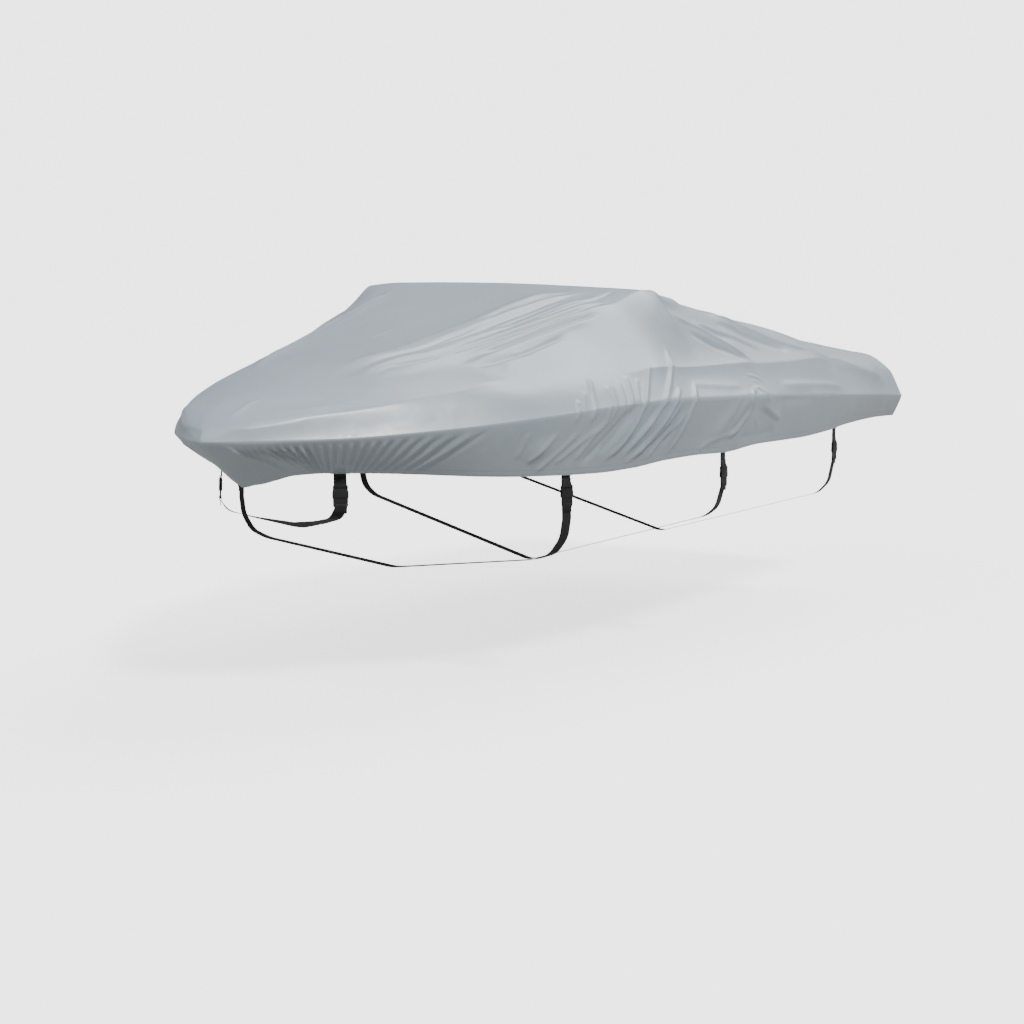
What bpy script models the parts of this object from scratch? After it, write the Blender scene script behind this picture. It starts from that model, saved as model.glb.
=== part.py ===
"""Fitted cover for a small runabout: one coated-cloth sheet held down by four webbing straps.

Frame: +X towards the bow, +Y to port, +Z up.  The origin is on the inner face of the cloth, at the
middle of the line where it lies over the windshield.  In the tables "aft" is the distance behind the
bow tip and "up" the height over the ground on which the boat's trailer would stand.
"""
import math
from collections import namedtuple

import bmesh
import bpy
import numpy as np
from mathutils import Matrix, Vector
from mathutils.bvhtree import BVHTree

# Driving dimensions, metres
TOP_AFT = 2.07            # bow tip to the line over the windshield
TOP_UP = 1.663            # height of the cloth's outer face at the middle of that line
CLOTH = 0.002             # coated polyester sheet
HEM_CLOTH = 0.003         # turned and stitched hem
GAP = 0.0005              # clearance between pieces that touch
TOP_LEAN = 0.024          # the windshield line's starboard end sits this much higher, port lower
LEAN_REACH = 0.45         # fore-and-aft reach of that lean
TRANSOM_BELLY = 0.02      # outward belly of the cloth over the transom

WEBBING = 0.050           # strap width
WEBBING_THICK = 0.0022    # strap thickness
TAB_SEWN = 0.055          # length of a strap's sewn end behind the hem
LAP = 0.030               # webbing turned back beside itself at a buckle bar

# Mesh density
ACROSS = 16               # strips from the rail to the centreline
SKIRT_ROWS = 6            # strips from the rail to the hem
BOW_ROWS, BOW_END, BOW_CROWDING = 12, 0.90, 1.6
PLEATED_STEP, PLEATED_END = 0.05, 2.15
AFT_ROWS = 19
STERN_ROWS = (0.09, 0.04, 0.0)
PLAN_POWER = 0.7          # near the tip the plan outline widens as this power of aft

PORT, STARBOARD = 1, -1
SIDES = {"port": PORT, "starboard": STARBOARD}

Station = namedtuple("Station", "aft half rail edge_in edge_up shoulder shoulder_up crown hem_aft hem_in")
STATIONS = (
    Station(0.00, 0.000, 1.048, 0.000, 0.000, 0.000, 1.048, 1.048, 0.233, 0.000),
    Station(0.03, 0.079, 1.049, 0.020, 0.020, 0.035, 1.080, 1.090, 0.206, 0.069),
    Station(0.10, 0.183, 1.050, 0.045, 0.060, 0.085, 1.130, 1.145, 0.162, 0.127),
    Station(0.30, 0.395, 1.055, 0.065, 0.095, 0.215, 1.190, 1.225, 0.116, 0.125),
    Station(0.60, 0.642, 1.078, 0.070, 0.100, 0.410, 1.258, 1.305, 0.080, 0.119),
    Station(1.00, 0.870, 1.115, 0.075, 0.105, 0.520, 1.335, 1.400, 0.036, 0.093),
    Station(1.45, 0.995, 1.148, 0.085, 0.110, 0.620, 1.450, 1.520, 0.012, 0.070),
    Station(1.83, 1.038, 1.157, 0.100, 0.110, 0.700, 1.563, 1.615, 0.003, 0.055),
    Station(2.07, 1.053, 1.155, 0.118, 0.110, 0.735, 1.646, 1.663, 0.000, 0.046),
    Station(2.30, 1.059, 1.150, 0.125, 0.115, 0.705, 1.602, 1.640, 0.000, 0.043),
    Station(2.84, 1.060, 1.138, 0.125, 0.130, 0.700, 1.519, 1.570, 0.000, 0.040),
    Station(3.60, 1.040, 1.115, 0.115, 0.147, 0.700, 1.420, 1.470, 0.000, 0.042),
    Station(4.30, 1.005, 1.090, 0.095, 0.155, 0.715, 1.343, 1.390, 0.000, 0.047),
    Station(4.60, 0.987, 1.077, 0.083, 0.152, 0.745, 1.312, 1.345, 0.000, 0.050),
    Station(4.70, 0.982, 1.071, 0.081, 0.150, 0.757, 1.303, 1.330, 0.000, 0.050),
    Station(4.74, 0.980, 1.069, 0.080, 0.145, 0.760, 1.286, 1.306, 0.000, 0.050),
)
LENGTH = STATIONS[-1].aft
SECTION_SHARES = (0.0, 0.17, 0.40, 0.60, 0.80, 1.0)   # rail, edge, shoulder, two crown points, centre
CROWN_SHARES = np.array((2 / 3, 1 / 3, 0.0))          # of the shoulder's distance from the centreline
SKIRT_CURVE = 1.25        # above 1 the side leaves the rail steeply and turns in lower down

Hem = namedtuple("Hem", "aft up")
HEM = (
    Hem(0.00, 0.860), Hem(0.03, 0.861), Hem(0.10, 0.871), Hem(0.15, 0.888), Hem(0.20, 0.905),
    Hem(0.30, 0.913), Hem(0.45, 0.910), Hem(0.65, 0.899), Hem(0.80, 0.889), Hem(1.00, 0.880),
    Hem(1.36, 0.874), Hem(1.58, 0.881), Hem(1.83, 0.900), Hem(2.07, 0.907), Hem(2.35, 0.902),
    Hem(2.73, 0.920), Hem(3.20, 0.920), Hem(3.57, 0.930), Hem(3.94, 0.951), Hem(4.37, 0.962),
    Hem(4.74, 0.955),
)

# Main folds.  Girth runs from the rail: positive up over the top, negative down to the hem.
Fold = namedtuple("Fold", "side aft0 girth0 aft1 girth1 width height")
FOLDS = (
    # long creases from the windshield's end down to the foredeck
    Fold(PORT, 0.60, 0.50, 1.90, 0.86, 0.060, 0.012),
    Fold(PORT, 0.50, 0.38, 1.93, 0.68, 0.055, 0.010),
    Fold(PORT, 0.97, 0.38, 1.89, 0.57, 0.055, 0.008),
    Fold(STARBOARD, 0.62, 0.44, 1.86, 0.76, 0.060, 0.009),
    # tension ridges from the windshield's end towards the stern
    Fold(PORT, 2.30, 0.45, 2.74, 0.20, 0.060, 0.014),
    Fold(PORT, 2.55, 0.52, 3.54, 0.28, 0.055, 0.014),
    Fold(PORT, 3.54, 0.28, 4.48, 0.10, 0.055, 0.010),
    Fold(STARBOARD, 2.35, 0.43, 2.85, 0.20, 0.060, 0.010),
    Fold(STARBOARD, 2.60, 0.50, 3.90, 0.22, 0.060, 0.010),
    # the peak and its two legs where the third strap pulls the side
    Fold(PORT, 2.59, 0.04, 2.12, -0.20, 0.045, 0.010),
    Fold(PORT, 2.59, 0.04, 2.91, -0.15, 0.045, 0.008),
    # slanting pleats on the side below the rail
    Fold(PORT, 1.08, -0.08, 0.96, -0.19, 0.038, 0.009),
    Fold(PORT, 1.57, -0.02, 1.37, -0.22, 0.038, 0.009),
    Fold(PORT, 1.71, -0.02, 1.49, -0.21, 0.038, 0.009),
    Fold(PORT, 1.83, -0.01, 1.61, -0.17, 0.038, 0.009),
    Fold(PORT, 1.96, -0.01, 1.81, -0.21, 0.038, 0.009),
)
FOLD_END = 0.12           # share of a fold's length over which it dies out at each end
FOLD_REACH = 3            # a fold is nothing beyond this many widths

# Straps.  Each route runs from below the port buckle to the keel and is mirrored to starboard.
Point = namedtuple("Point", "aft out up")
Strap = namedtuple("Strap", "name station keel_rake drop route")
STRAPS = (
    Strap("bow", 0.335, 30.0, 0.086, (
        Point(0.450, 0.298, 0.775), Point(0.457, 0.268, 0.737), Point(0.500, 0.160, 0.712),
        Point(0.560, 0.0, 0.685))),
    Strap("fore", 1.195, 0.0, 0.076, (
        Point(1.220, 0.850, 0.700), Point(1.220, 0.838, 0.620), Point(1.220, 0.787, 0.551),
        Point(1.220, 0.700, 0.522), Point(1.220, 0.0, 0.440))),
    Strap("mid", 2.340, 0.0, 0.096, (
        Point(2.340, 1.012, 0.750), Point(2.340, 0.985, 0.655), Point(2.340, 0.930, 0.610),
        Point(2.340, 0.0, 0.345))),
    Strap("aft", 3.720, 0.0, 0.108, (
        Point(3.720, 0.985, 0.770), Point(3.720, 0.962, 0.660), Point(3.720, 0.905, 0.600),
        Point(3.720, 0.0, 0.345))),
)
KEEL_ROUND = 0.03         # half the length over which a strap bends round the keel
BEND_STEPS = 3            # steps of each rounded bend
BEND_SHARE = 0.45         # a bend takes at most this share of the leg on each side of it
MOST_MITRE = 2.0          # a ribbon's sharpest corner is this much thicker across it
TURN_STEPS = 6            # steps of the half turn round a buckle bar
SEAT_SHARES = (1.0, 0.6, 0.3, 0.1)   # of a tab's sewn length: where it is fitted to the cloth
SEAT_ACROSS = (-1.05, -0.5, 0.0, 0.5, 1.05)   # of the webbing's half width: where the cloth is felt for
PROBE_DEPTH = 0.06        # how far inside the hem the cloth is measured from
HEM_PROBES = (0.0015, -0.003, -0.006, -0.009)   # rises at which the sloping hem's edge is looked for
LOW_SKIRT = 0.8           # share of the skirt, down from the rail, whose slope the tabs follow
SLOPE_STEP = 0.01         # half the length over which the rail's direction is taken

# Side-release buckle, in its own frame: x across the strap, y up along it, z outwards
SOCKET_HALF_WIDTH, SOCKET_HALF_THICK = 0.0310, 0.00625
SOCKET_TOP, SOCKET_MOUTH, SOCKET_NECK_HALF, SOCKET_NECK, SOCKET_TAPER = 0.0400, -0.0080, 0.0285, 0.0220, 0.0132
CAVITY_HALF_WIDTH, CAVITY_HALF_THICK, CAVITY_TOP = 0.0250, 0.0036, 0.0220
WINDOW_LOW, WINDOW_HIGH, WINDOW_INNER = 0.0040, 0.0190, 0.0220
PLUG_HALF_WIDTH, PLUG_HALF_THICK, PLUG_SHOULDER = 0.0290, 0.0030, -0.0085
ARM_OUTER, ARM_INNER, ARM_BARB, ARM_BARB_OUT, ARM_TIP = 0.0210, 0.0150, 0.0055, 0.0290, 0.0178
RIB_HALF, RIB_TIP = 0.0040, 0.0160
BAR_HALF = 0.0018         # half the height and thickness of a webbing bar
TURN = BAR_HALF * math.sqrt(2) + GAP + WEBBING_THICK / 2   # radius of the webbing's middle round a bar
BAR_AT = 0.0378           # a bar's distance from the buckle's middle
SLOT_INNER = 0.0280       # a webbing slot's inner end
SLOT_HALF_WIDTH = 0.0258
FAR = 0.1                 # reach of a cutter beyond what it cuts


def clear_scene():
    for item in list(bpy.data.objects):
        bpy.data.objects.remove(item, do_unlink=True)


def material(name, colour, roughness):
    made = bpy.data.materials.new(name)
    made.use_nodes = True
    shader = made.node_tree.nodes["Principled BSDF"]
    shader.inputs["Base Color"].default_value = (*colour, 1.0)
    shader.inputs["Roughness"].default_value = roughness
    shader.inputs["Metallic"].default_value = 0.0
    made.diffuse_color = (*colour, 1.0)
    return made


def new_object(name, mesh, surface):
    made = bpy.data.objects.new(name, mesh)
    bpy.context.collection.objects.link(made)
    if not mesh.materials:
        mesh.materials.append(surface)
    return made


# ---- The cover's shape ----

def fair(knots, values, at, flat_end=False):
    """A smooth curve through the knots that never overshoots them."""
    knots, values = np.asarray(knots, float), np.asarray(values, float)
    run = np.diff(knots)
    rise = np.diff(values) / run
    slope = np.empty(len(knots))
    slope[0], slope[-1] = rise[0], 0.0 if flat_end else rise[-1]
    for i in range(1, len(knots) - 1):
        before, after = rise[i - 1], rise[i]
        weight_before, weight_after = 2 * run[i] + run[i - 1], run[i] + 2 * run[i - 1]
        turning = before * after <= 0
        slope[i] = 0.0 if turning else (weight_before + weight_after) / (
            weight_before / before + weight_after / after)
    at = np.clip(at, knots[0], knots[-1])
    i = np.clip(np.searchsorted(knots, at, side="right") - 1, 0, len(run) - 1)
    t = (at - knots[i]) / run[i]
    return (values[i] * (1 + 2 * t) * (1 - t) ** 2 + slope[i] * run[i] * t * (1 - t) ** 2
            + values[i + 1] * t * t * (3 - 2 * t) + slope[i + 1] * run[i] * t * t * (t - 1))


def along(table, column, aft):
    """A table's column at a distance aft of the tip."""
    knots = [row.aft ** PLAN_POWER for row in table]
    return float(fair(knots, [getattr(row, column) for row in table], aft ** PLAN_POWER))


def place(aft, y, up):
    """From the tables' measures to the part's frame."""
    return Vector((TOP_AFT - aft, y, up - TOP_UP + CLOTH))


def section(aft, shares):
    """Distance out and height along the cross section, from the rail (0) to the centreline (1)."""
    half, rail, shoulder, shoulder_up, crown = (
        along(STATIONS, name, aft) for name in ("half", "rail", "shoulder", "shoulder_up", "crown"))
    edge_out = half - along(STATIONS, "edge_in", aft)
    edge_up = rail + along(STATIONS, "edge_up", aft)
    out = [half, edge_out, shoulder, *(shoulder * CROWN_SHARES)]
    up = [rail, edge_up, shoulder_up, *(shoulder_up + (crown - shoulder_up) * (1 - CROWN_SHARES ** 2))]
    return fair(SECTION_SHARES, out, shares), fair(SECTION_SHARES, up, shares, flat_end=True)


def lean(aft, y, up):
    """Rise or drop of the windshield line's ends."""
    reach = math.exp(-((aft - TOP_AFT) / LEAN_REACH) ** 2)
    shoulder = along(STATIONS, "shoulder", TOP_AFT)
    rail = along(STATIONS, "rail", TOP_AFT)
    on_top = min(max((up - rail) / (TOP_UP - rail), 0.0), 1.0)
    return -TOP_LEAN * max(min(y / shoulder, 1.0), -1.0) * reach * on_top


def skirt_point(aft, share):
    """A point below the rail: share 0 at the rail, 1 at the hem.  Returns aft, out and up."""
    turn_in = share ** SKIRT_CURVE
    rail = along(STATIONS, "rail", aft)
    return (aft + along(STATIONS, "hem_aft", aft) * turn_in,
            along(STATIONS, "half", aft) - along(STATIONS, "hem_in", aft) * turn_in,
            rail + (along(HEM, "up", aft) - rail) * share)


def transom_point(y, up, share):
    """A point of the cloth over the transom, below the top edge at (y, up)."""
    corner = STATIONS[-1]
    narrowing = 1 - share * corner.hem_in / corner.half
    return place(LENGTH + TRANSOM_BELLY * math.sin(math.pi * share), y * narrowing,
                 up + (HEM[-1].up - up) * share)


def fold_height(side, aft, girth):
    """How far the folds lift the cloth at a place on its surface."""
    lift = 0.0
    for fold in FOLDS:
        run = Vector((fold.aft1 - fold.aft0, fold.girth1 - fold.girth0))
        there = Vector((aft - fold.aft0, girth - fold.girth0))
        share = min(max(there.dot(run) / run.length_squared, 0.0), 1.0)
        distance = (there - run * share).length
        ends = min(share, 1 - share, FOLD_END) / FOLD_END
        if side == fold.side and distance < FOLD_REACH * fold.width:
            lift += fold.height * ends * math.exp(-((distance / fold.width) ** 2))
    return lift


def station_list():
    bow = [BOW_END * (i / BOW_ROWS) ** BOW_CROWDING for i in range(BOW_ROWS)]
    pleated = list(np.arange(BOW_END, PLEATED_END - PLEATED_STEP / 2, PLEATED_STEP))
    aft = list(np.linspace(PLEATED_END, LENGTH - STERN_ROWS[0], AFT_ROWS, endpoint=False))
    return bow + pleated + aft + [LENGTH - back for back in STERN_ROWS]


class CoverSkin:
    """The cover's outer face: a grid over the top, and a skirt hung from the grid's rim."""

    def __init__(self):
        self.mesh = bmesh.new()
        self.spots = {}        # vertex -> side, aft and girth, for the folds
        self.hem = []

    def vertex(self, place_at, side, aft, girth):
        made = self.mesh.verts.new(place_at)
        self.spots[made] = (side, aft, girth)
        return made

    def face(self, *corners):
        distinct = list(dict.fromkeys(corners))
        if len(distinct) > 2:
            self.mesh.faces.new(distinct)

    def top(self, stations):
        """Rows of vertices from starboard rail to port rail; the first row is the tip alone."""
        shares = np.linspace(0.0, 1.0, ACROSS + 1)
        rows = []
        for aft in stations:
            out, up = section(aft, shares)
            girth = np.concatenate([[0.0], np.cumsum(np.hypot(np.diff(out), np.diff(up)))])
            if aft == 0:
                tip = self.vertex(place(0.0, 0.0, up[0]), PORT, 0.0, 0.0)
                rows.append([tip] * (2 * ACROSS + 1))
                continue
            row = []
            for j in range(-ACROSS, ACROSS + 1):
                k = ACROSS - abs(j)
                side = PORT if j >= 0 else STARBOARD
                y = side * out[k]
                row.append(self.vertex(place(aft, y, up[k] + lean(aft, y, up[k])), side, aft, girth[k]))
            rows.append(row)
        for row, after in zip(rows, rows[1:]):
            for j in range(2 * ACROSS):
                self.face(row[j], after[j], after[j + 1], row[j + 1])
        return rows

    def side_post(self, rail, side, aft):
        """Vertices from a rail vertex down to the hem."""
        post = [rail]
        for k in range(1, SKIRT_ROWS + 1):
            back, out, up = skirt_point(aft, k / SKIRT_ROWS)
            spot = place(back, side * out, up)
            girth = -(spot - rail.co).length
            post.append(self.vertex(spot, side, aft, girth))
        return post

    def transom_post(self, edge, up):
        """Vertices from the top's aft edge down to the transom's hem."""
        shares = [k / SKIRT_ROWS for k in range(1, SKIRT_ROWS + 1)]
        return [edge] + [self.vertex(transom_point(edge.co.y, up, share), PORT, math.inf, 0.0)
                         for share in shares]

    def skirt(self, rows, stations):
        port = [self.side_post(row[-1], PORT, aft) for row, aft in zip(rows, stations)]
        starboard = [self.side_post(row[0], STARBOARD, aft)
                     for row, aft in zip(rows[1:], stations[1:])]
        datum = place(0.0, 0.0, 0.0).z
        transom = [self.transom_post(edge, edge.co.z - datum) for edge in reversed(rows[-1][1:-1])]
        posts = port + transom + starboard[::-1]
        for post, after in zip(posts, posts[1:] + posts[:1]):
            for k in range(SKIRT_ROWS):
                self.face(post[k], after[k], after[k + 1], post[k + 1])
        self.hem = [post[-1] for post in posts]

    def fold(self):
        self.mesh.normal_update()
        lifts = {v: v.normal * fold_height(*spot) for v, spot in self.spots.items()
                 if math.isfinite(spot[1])}
        for v, lift in lifts.items():
            v.co += lift


def build_cover(surface):
    skin = CoverSkin()
    stations = station_list()
    skin.skirt(skin.top(stations), stations)
    bmesh.ops.recalc_face_normals(skin.mesh, faces=skin.mesh.faces)
    skin.fold()
    skin.mesh.verts.index_update()
    hem = [v.index for v in skin.hem]
    mesh = bpy.data.meshes.new("cover")
    skin.mesh.to_mesh(mesh)
    skin.mesh.free()
    cover = new_object("cover", mesh, surface)
    cover.vertex_groups.new(name="hem").add(hem, 1.0, "REPLACE")
    mesh.shade_smooth()
    thicken = cover.modifiers.new("cloth", "SOLIDIFY")
    thicken.thickness = HEM_CLOTH
    thicken.offset = -1.0
    thicken.use_even_offset = True
    thicken.vertex_group = "hem"
    thicken.thickness_vertex_group = CLOTH / HEM_CLOTH
    return cover


# ---- Webbing and buckles ----

def mirrored(point, side):
    return Vector((point.x, side * point.y, point.z))


def rounded(points, reach, steps):
    """A path whose inner corners are replaced by short curves that start `reach` from each corner."""
    path = [points[0]]
    for before, corner, after in zip(points, points[1:], points[2:]):
        start = corner + (before - corner).normalized() * min(reach, (before - corner).length * BEND_SHARE)
        end = corner + (after - corner).normalized() * min(reach, (after - corner).length * BEND_SHARE)
        for k in range(steps + 1):
            t = k / steps
            path.append(start * (1 - t) ** 2 + corner * 2 * t * (1 - t) + end * t * t)
    path.append(points[-1])
    return path


def ribbon(name, path, across, surface):
    """A flat strip along a path; across gives its width direction at each point of the path."""
    shape = bmesh.new()
    rings = []
    for i, (centre, wide) in enumerate(zip(path, across)):
        arriving = (centre - path[i - 1]).normalized() if i else None
        leaving = (path[i + 1] - centre).normalized() if i + 1 < len(path) else None
        tangent = ((arriving or leaving) + (leaving or arriving)).normalized()
        mitre = 1 / max(tangent.dot(leaving or arriving), 1 / MOST_MITRE)
        wide = (wide - tangent * wide.dot(tangent)).normalized() * WEBBING / 2
        deep = wide.cross(tangent).normalized() * WEBBING_THICK / 2 * mitre
        rings.append([shape.verts.new(centre + corner)
                      for corner in (wide + deep, deep - wide, -wide - deep, wide - deep)])
    for ring, after in zip(rings, rings[1:]):
        for k in range(4):
            shape.faces.new((ring[k], ring[(k + 1) % 4], after[(k + 1) % 4], after[k]))
    shape.faces.new(rings[0])
    shape.faces.new(rings[-1][::-1])
    bmesh.ops.recalc_face_normals(shape, faces=shape.faces)
    mesh = bpy.data.meshes.new(name)
    shape.to_mesh(mesh)
    shape.free()
    return new_object(name, mesh, surface)


def extruded(name, outline, half_thick):
    """A plate of the given outline, centred on z = 0."""
    shape = bmesh.new()
    floor = [shape.verts.new((x, y, -half_thick)) for x, y in outline]
    sheet = shape.faces.new(floor)
    lifted = bmesh.ops.extrude_face_region(shape, geom=[sheet])["geom"]
    bmesh.ops.translate(shape, verts=[g for g in lifted if isinstance(g, bmesh.types.BMVert)],
                        vec=(0.0, 0.0, 2 * half_thick))
    bmesh.ops.recalc_face_normals(shape, faces=shape.faces)
    mesh = bpy.data.meshes.new(name)
    shape.to_mesh(mesh)
    shape.free()
    return mesh


def box_mesh(low, high):
    shape = bmesh.new()
    bmesh.ops.create_cube(shape, size=1.0)
    for v in shape.verts:
        v.co = Vector(high[i] if v.co[i] > 0 else low[i] for i in range(3))
    mesh = bpy.data.meshes.new("cutter")
    shape.to_mesh(mesh)
    shape.free()
    return mesh


def carved(name, blank, boxes):
    """The blank with each box cut away."""
    block = bpy.data.objects.new(name, blank)
    bpy.context.collection.objects.link(block)
    cutters = []
    for low, high in boxes:
        cutter = bpy.data.objects.new("cutter", box_mesh(low, high))
        bpy.context.collection.objects.link(cutter)
        cut = block.modifiers.new("cut", "BOOLEAN")
        cut.operation = "DIFFERENCE"
        cut.solver = "EXACT"
        cut.object = cutter
        cutters.append(cutter)
    depsgraph = bpy.context.evaluated_depsgraph_get()
    mesh = bpy.data.meshes.new_from_object(block.evaluated_get(depsgraph))
    mesh.name = name
    for spent in [block, *cutters]:
        bpy.data.objects.remove(spent, do_unlink=True)
    return mesh


def both_ways(half_outline):
    """An outline closed by its own mirror image in x."""
    return list(half_outline) + [(-x, y) for x, y in reversed(half_outline)]


def bar_cutters(end):
    """Boxes that leave a thin bar across a buckle's end; end is +1 for the top, -1 for the foot."""
    def box(inner, outer, low, high):
        lower, upper = sorted((end * inner, end * outer))
        return (-SLOT_HALF_WIDTH, lower, low), (SLOT_HALF_WIDTH, upper, high)
    return [box(SLOT_INNER, BAR_AT - BAR_HALF, -FAR, FAR),
            box(SLOT_INNER, BAR_AT + FAR, BAR_HALF, FAR),
            box(SLOT_INNER, BAR_AT + FAR, -FAR, -BAR_HALF)]


def socket_mesh():
    blank = extruded("socket", both_ways((
        (SOCKET_HALF_WIDTH, SOCKET_MOUTH), (SOCKET_HALF_WIDTH, SOCKET_TAPER),
        (SOCKET_NECK_HALF, SOCKET_NECK), (SOCKET_NECK_HALF, SOCKET_TOP))), SOCKET_HALF_THICK)
    cavity = ((-CAVITY_HALF_WIDTH, -FAR, -CAVITY_HALF_THICK),
              (CAVITY_HALF_WIDTH, CAVITY_TOP, CAVITY_HALF_THICK))
    windows = [((WINDOW_INNER, WINDOW_LOW, -CAVITY_HALF_THICK), (FAR, WINDOW_HIGH, CAVITY_HALF_THICK)),
               ((-FAR, WINDOW_LOW, -CAVITY_HALF_THICK), (-WINDOW_INNER, WINDOW_HIGH, CAVITY_HALF_THICK))]
    return carved("socket", blank, [cavity, *windows, *bar_cutters(1)])


def plug_mesh():
    crotch = PLUG_SHOULDER + BAR_HALF
    blank = extruded("plug", both_ways((
        (PLUG_HALF_WIDTH, -SOCKET_TOP), (PLUG_HALF_WIDTH, PLUG_SHOULDER), (ARM_OUTER, PLUG_SHOULDER),
        (ARM_OUTER, ARM_BARB), (ARM_BARB_OUT, ARM_BARB), (ARM_OUTER, ARM_TIP), (ARM_INNER, ARM_TIP),
        (ARM_INNER, crotch), (RIB_HALF, crotch), (RIB_HALF, RIB_TIP))), PLUG_HALF_THICK)
    return carved("plug", blank, bar_cutters(-1))


class Fitting:
    """One side of a strap: the hem point it hangs from, its buckle's frame and its webbing's turns."""

    def __init__(self, strap, side, cover_tree):
        self.side = side
        self.route = [mirrored(place(p.aft, p.out, p.up), side) for p in strap.route]
        back, out, up = skirt_point(strap.station, 1.0)
        self.hem = mirrored(place(back, out, up), side)
        slope = (along(STATIONS, "half", strap.station + SLOPE_STEP)
                 - along(STATIONS, "half", strap.station - SLOPE_STEP)) / (2 * SLOPE_STEP)
        self.across = Vector((1.0, -side * slope, 0.0)).normalized()
        self.keel_across = Vector((math.cos(math.radians(strap.keel_rake)), 0.0,
                                   math.sin(math.radians(strap.keel_rake))))
        back, out, up = skirt_point(strap.station, LOW_SKIRT)
        self.up_skirt = (mirrored(place(back, out, up), side) - self.hem).normalized()
        self.outward = self.up_skirt.cross(self.across).normalized()
        if self.outward.y * side < 0:
            self.outward.negate()
        self.seats = [self.seat(cover_tree, TAB_SEWN * share) for share in SEAT_SHARES]
        self.seats.append(self.seat(cover_tree, HEM_PROBES[-1], HEM_PROBES))
        self.set_buckle(strap.drop)

    def seat(self, cover_tree, rise, probes=None):
        """The webbing's centre at a rise above the hem, just inside the cloth met at the probed rises."""
        reaches = []
        for probe in probes or (rise,):
            for share in SEAT_ACROSS:
                start = self.hem + self.up_skirt * probe + self.across * share * WEBBING / 2
                hit = cover_tree.ray_cast(start - self.outward * PROBE_DEPTH, self.outward)
                if hit[0]:
                    reaches.append(hit[3])
        inset = min(reaches) - PROBE_DEPTH - GAP - WEBBING_THICK / 2
        return self.hem + self.up_skirt * rise + self.outward * inset

    def set_buckle(self, drop):
        """The buckle hangs from the tab in line with the webbing that leads on to the hull."""
        self.along = (self.seats[-1] - self.route[0]).normalized()
        self.face = self.along.cross(self.across).normalized()
        if self.face.y * self.side < 0:
            self.face.negate()
        self.centre = self.seats[-1] - self.along * drop + self.face * TURN
        x_axis = self.along.cross(self.face).normalized()
        axes = Matrix((x_axis, self.along, self.face)).transposed()
        self.matrix = Matrix.Translation(self.centre) @ axes.to_4x4()

    def turn_round_bar(self, end):
        """The webbing's path round a bar, from its free tail to the standing part behind the bar."""
        beside = -TURN + WEBBING_THICK + GAP
        path = [(end * (BAR_AT + LAP), beside), (end * (BAR_AT + LAP / 2), beside),
                (end * (BAR_AT + 2 * BAR_HALF), TURN)]
        for k in range(TURN_STEPS + 1):
            angle = math.pi * k / TURN_STEPS
            path.append((end * (BAR_AT - TURN * math.sin(angle)), TURN * math.cos(angle)))
        return [self.centre + self.along * y + self.face * z for y, z in path]

    def width_at(self, spot):
        """The webbing's width direction: along the side by the buckle, along the keel below it."""
        share = min(abs(spot.y) / abs(self.route[0].y), 1.0)
        return (self.across * share + self.keel_across * (1 - share)).normalized()

    def tab_path(self):
        return self.turn_round_bar(1) + self.seats[::-1]

    def half_strap_path(self):
        """From the tail at the buckle down to the keel."""
        return self.turn_round_bar(-1) + rounded(self.route, KEEL_ROUND, BEND_STEPS)[:-1]


def build_strap(strap, cover_tree, webbing, plastic, socket, plug):
    halves = {}
    for word, side in SIDES.items():
        half = Fitting(strap, side, cover_tree)
        halves[word] = half
        stem = f"{strap.name}_{word}"
        path = half.tab_path()
        ribbon(f"{stem}_tab", path, [half.across] * len(path), webbing)
        for word_part, mesh in (("socket", socket), ("plug", plug)):
            piece = new_object(f"{stem}_{word_part}", mesh, plastic)
            piece.matrix_world = half.matrix
    port, starboard = halves["port"], halves["starboard"]
    port_path, starboard_path = port.half_strap_path(), starboard.half_strap_path()
    keel = port.route[-1]
    bend = rounded([port_path[-1], keel, starboard_path[-1]], KEEL_ROUND, BEND_STEPS)
    path = port_path + bend[1:-1] + starboard_path[::-1]
    across = ([port.width_at(p) for p in port_path] + [port.keel_across] * (len(bend) - 2)
              + [starboard.width_at(p) for p in reversed(starboard_path)])
    ribbon(f"{strap.name}_strap", path, across, webbing)


def main():
    clear_scene()
    cloth = material("grey coated polyester", (0.40, 0.43, 0.46), 0.55)
    webbing = material("black webbing", (0.025, 0.025, 0.028), 0.75)
    plastic = material("black acetal", (0.020, 0.020, 0.022), 0.40)
    cover = build_cover(cloth)
    depsgraph = bpy.context.evaluated_depsgraph_get()
    cover_tree = BVHTree.FromObject(cover, depsgraph)
    socket, plug = socket_mesh(), plug_mesh()
    for strap in STRAPS:
        build_strap(strap, cover_tree, webbing, plastic, socket, plug)


main()
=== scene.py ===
"""The looks of the fitted boat cover: creased coated cloth, webbing straps and moulded buckles.

The frame is the part's: +X towards the bow, +Y to port, +Z up, with the origin under the cloth at
the middle of the windshield line.  In the tables "aft" is the distance behind the bow tip and "up"
the height over the ground, as in the part's source, and girth runs along the cloth from the rail:
positive up over the top, negative down to the hem.
"""

import math
from collections import namedtuple

import bmesh
import bpy
import numpy as np
from mathutils import Matrix, Vector, noise
from mathutils.bvhtree import BVHTree


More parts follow.
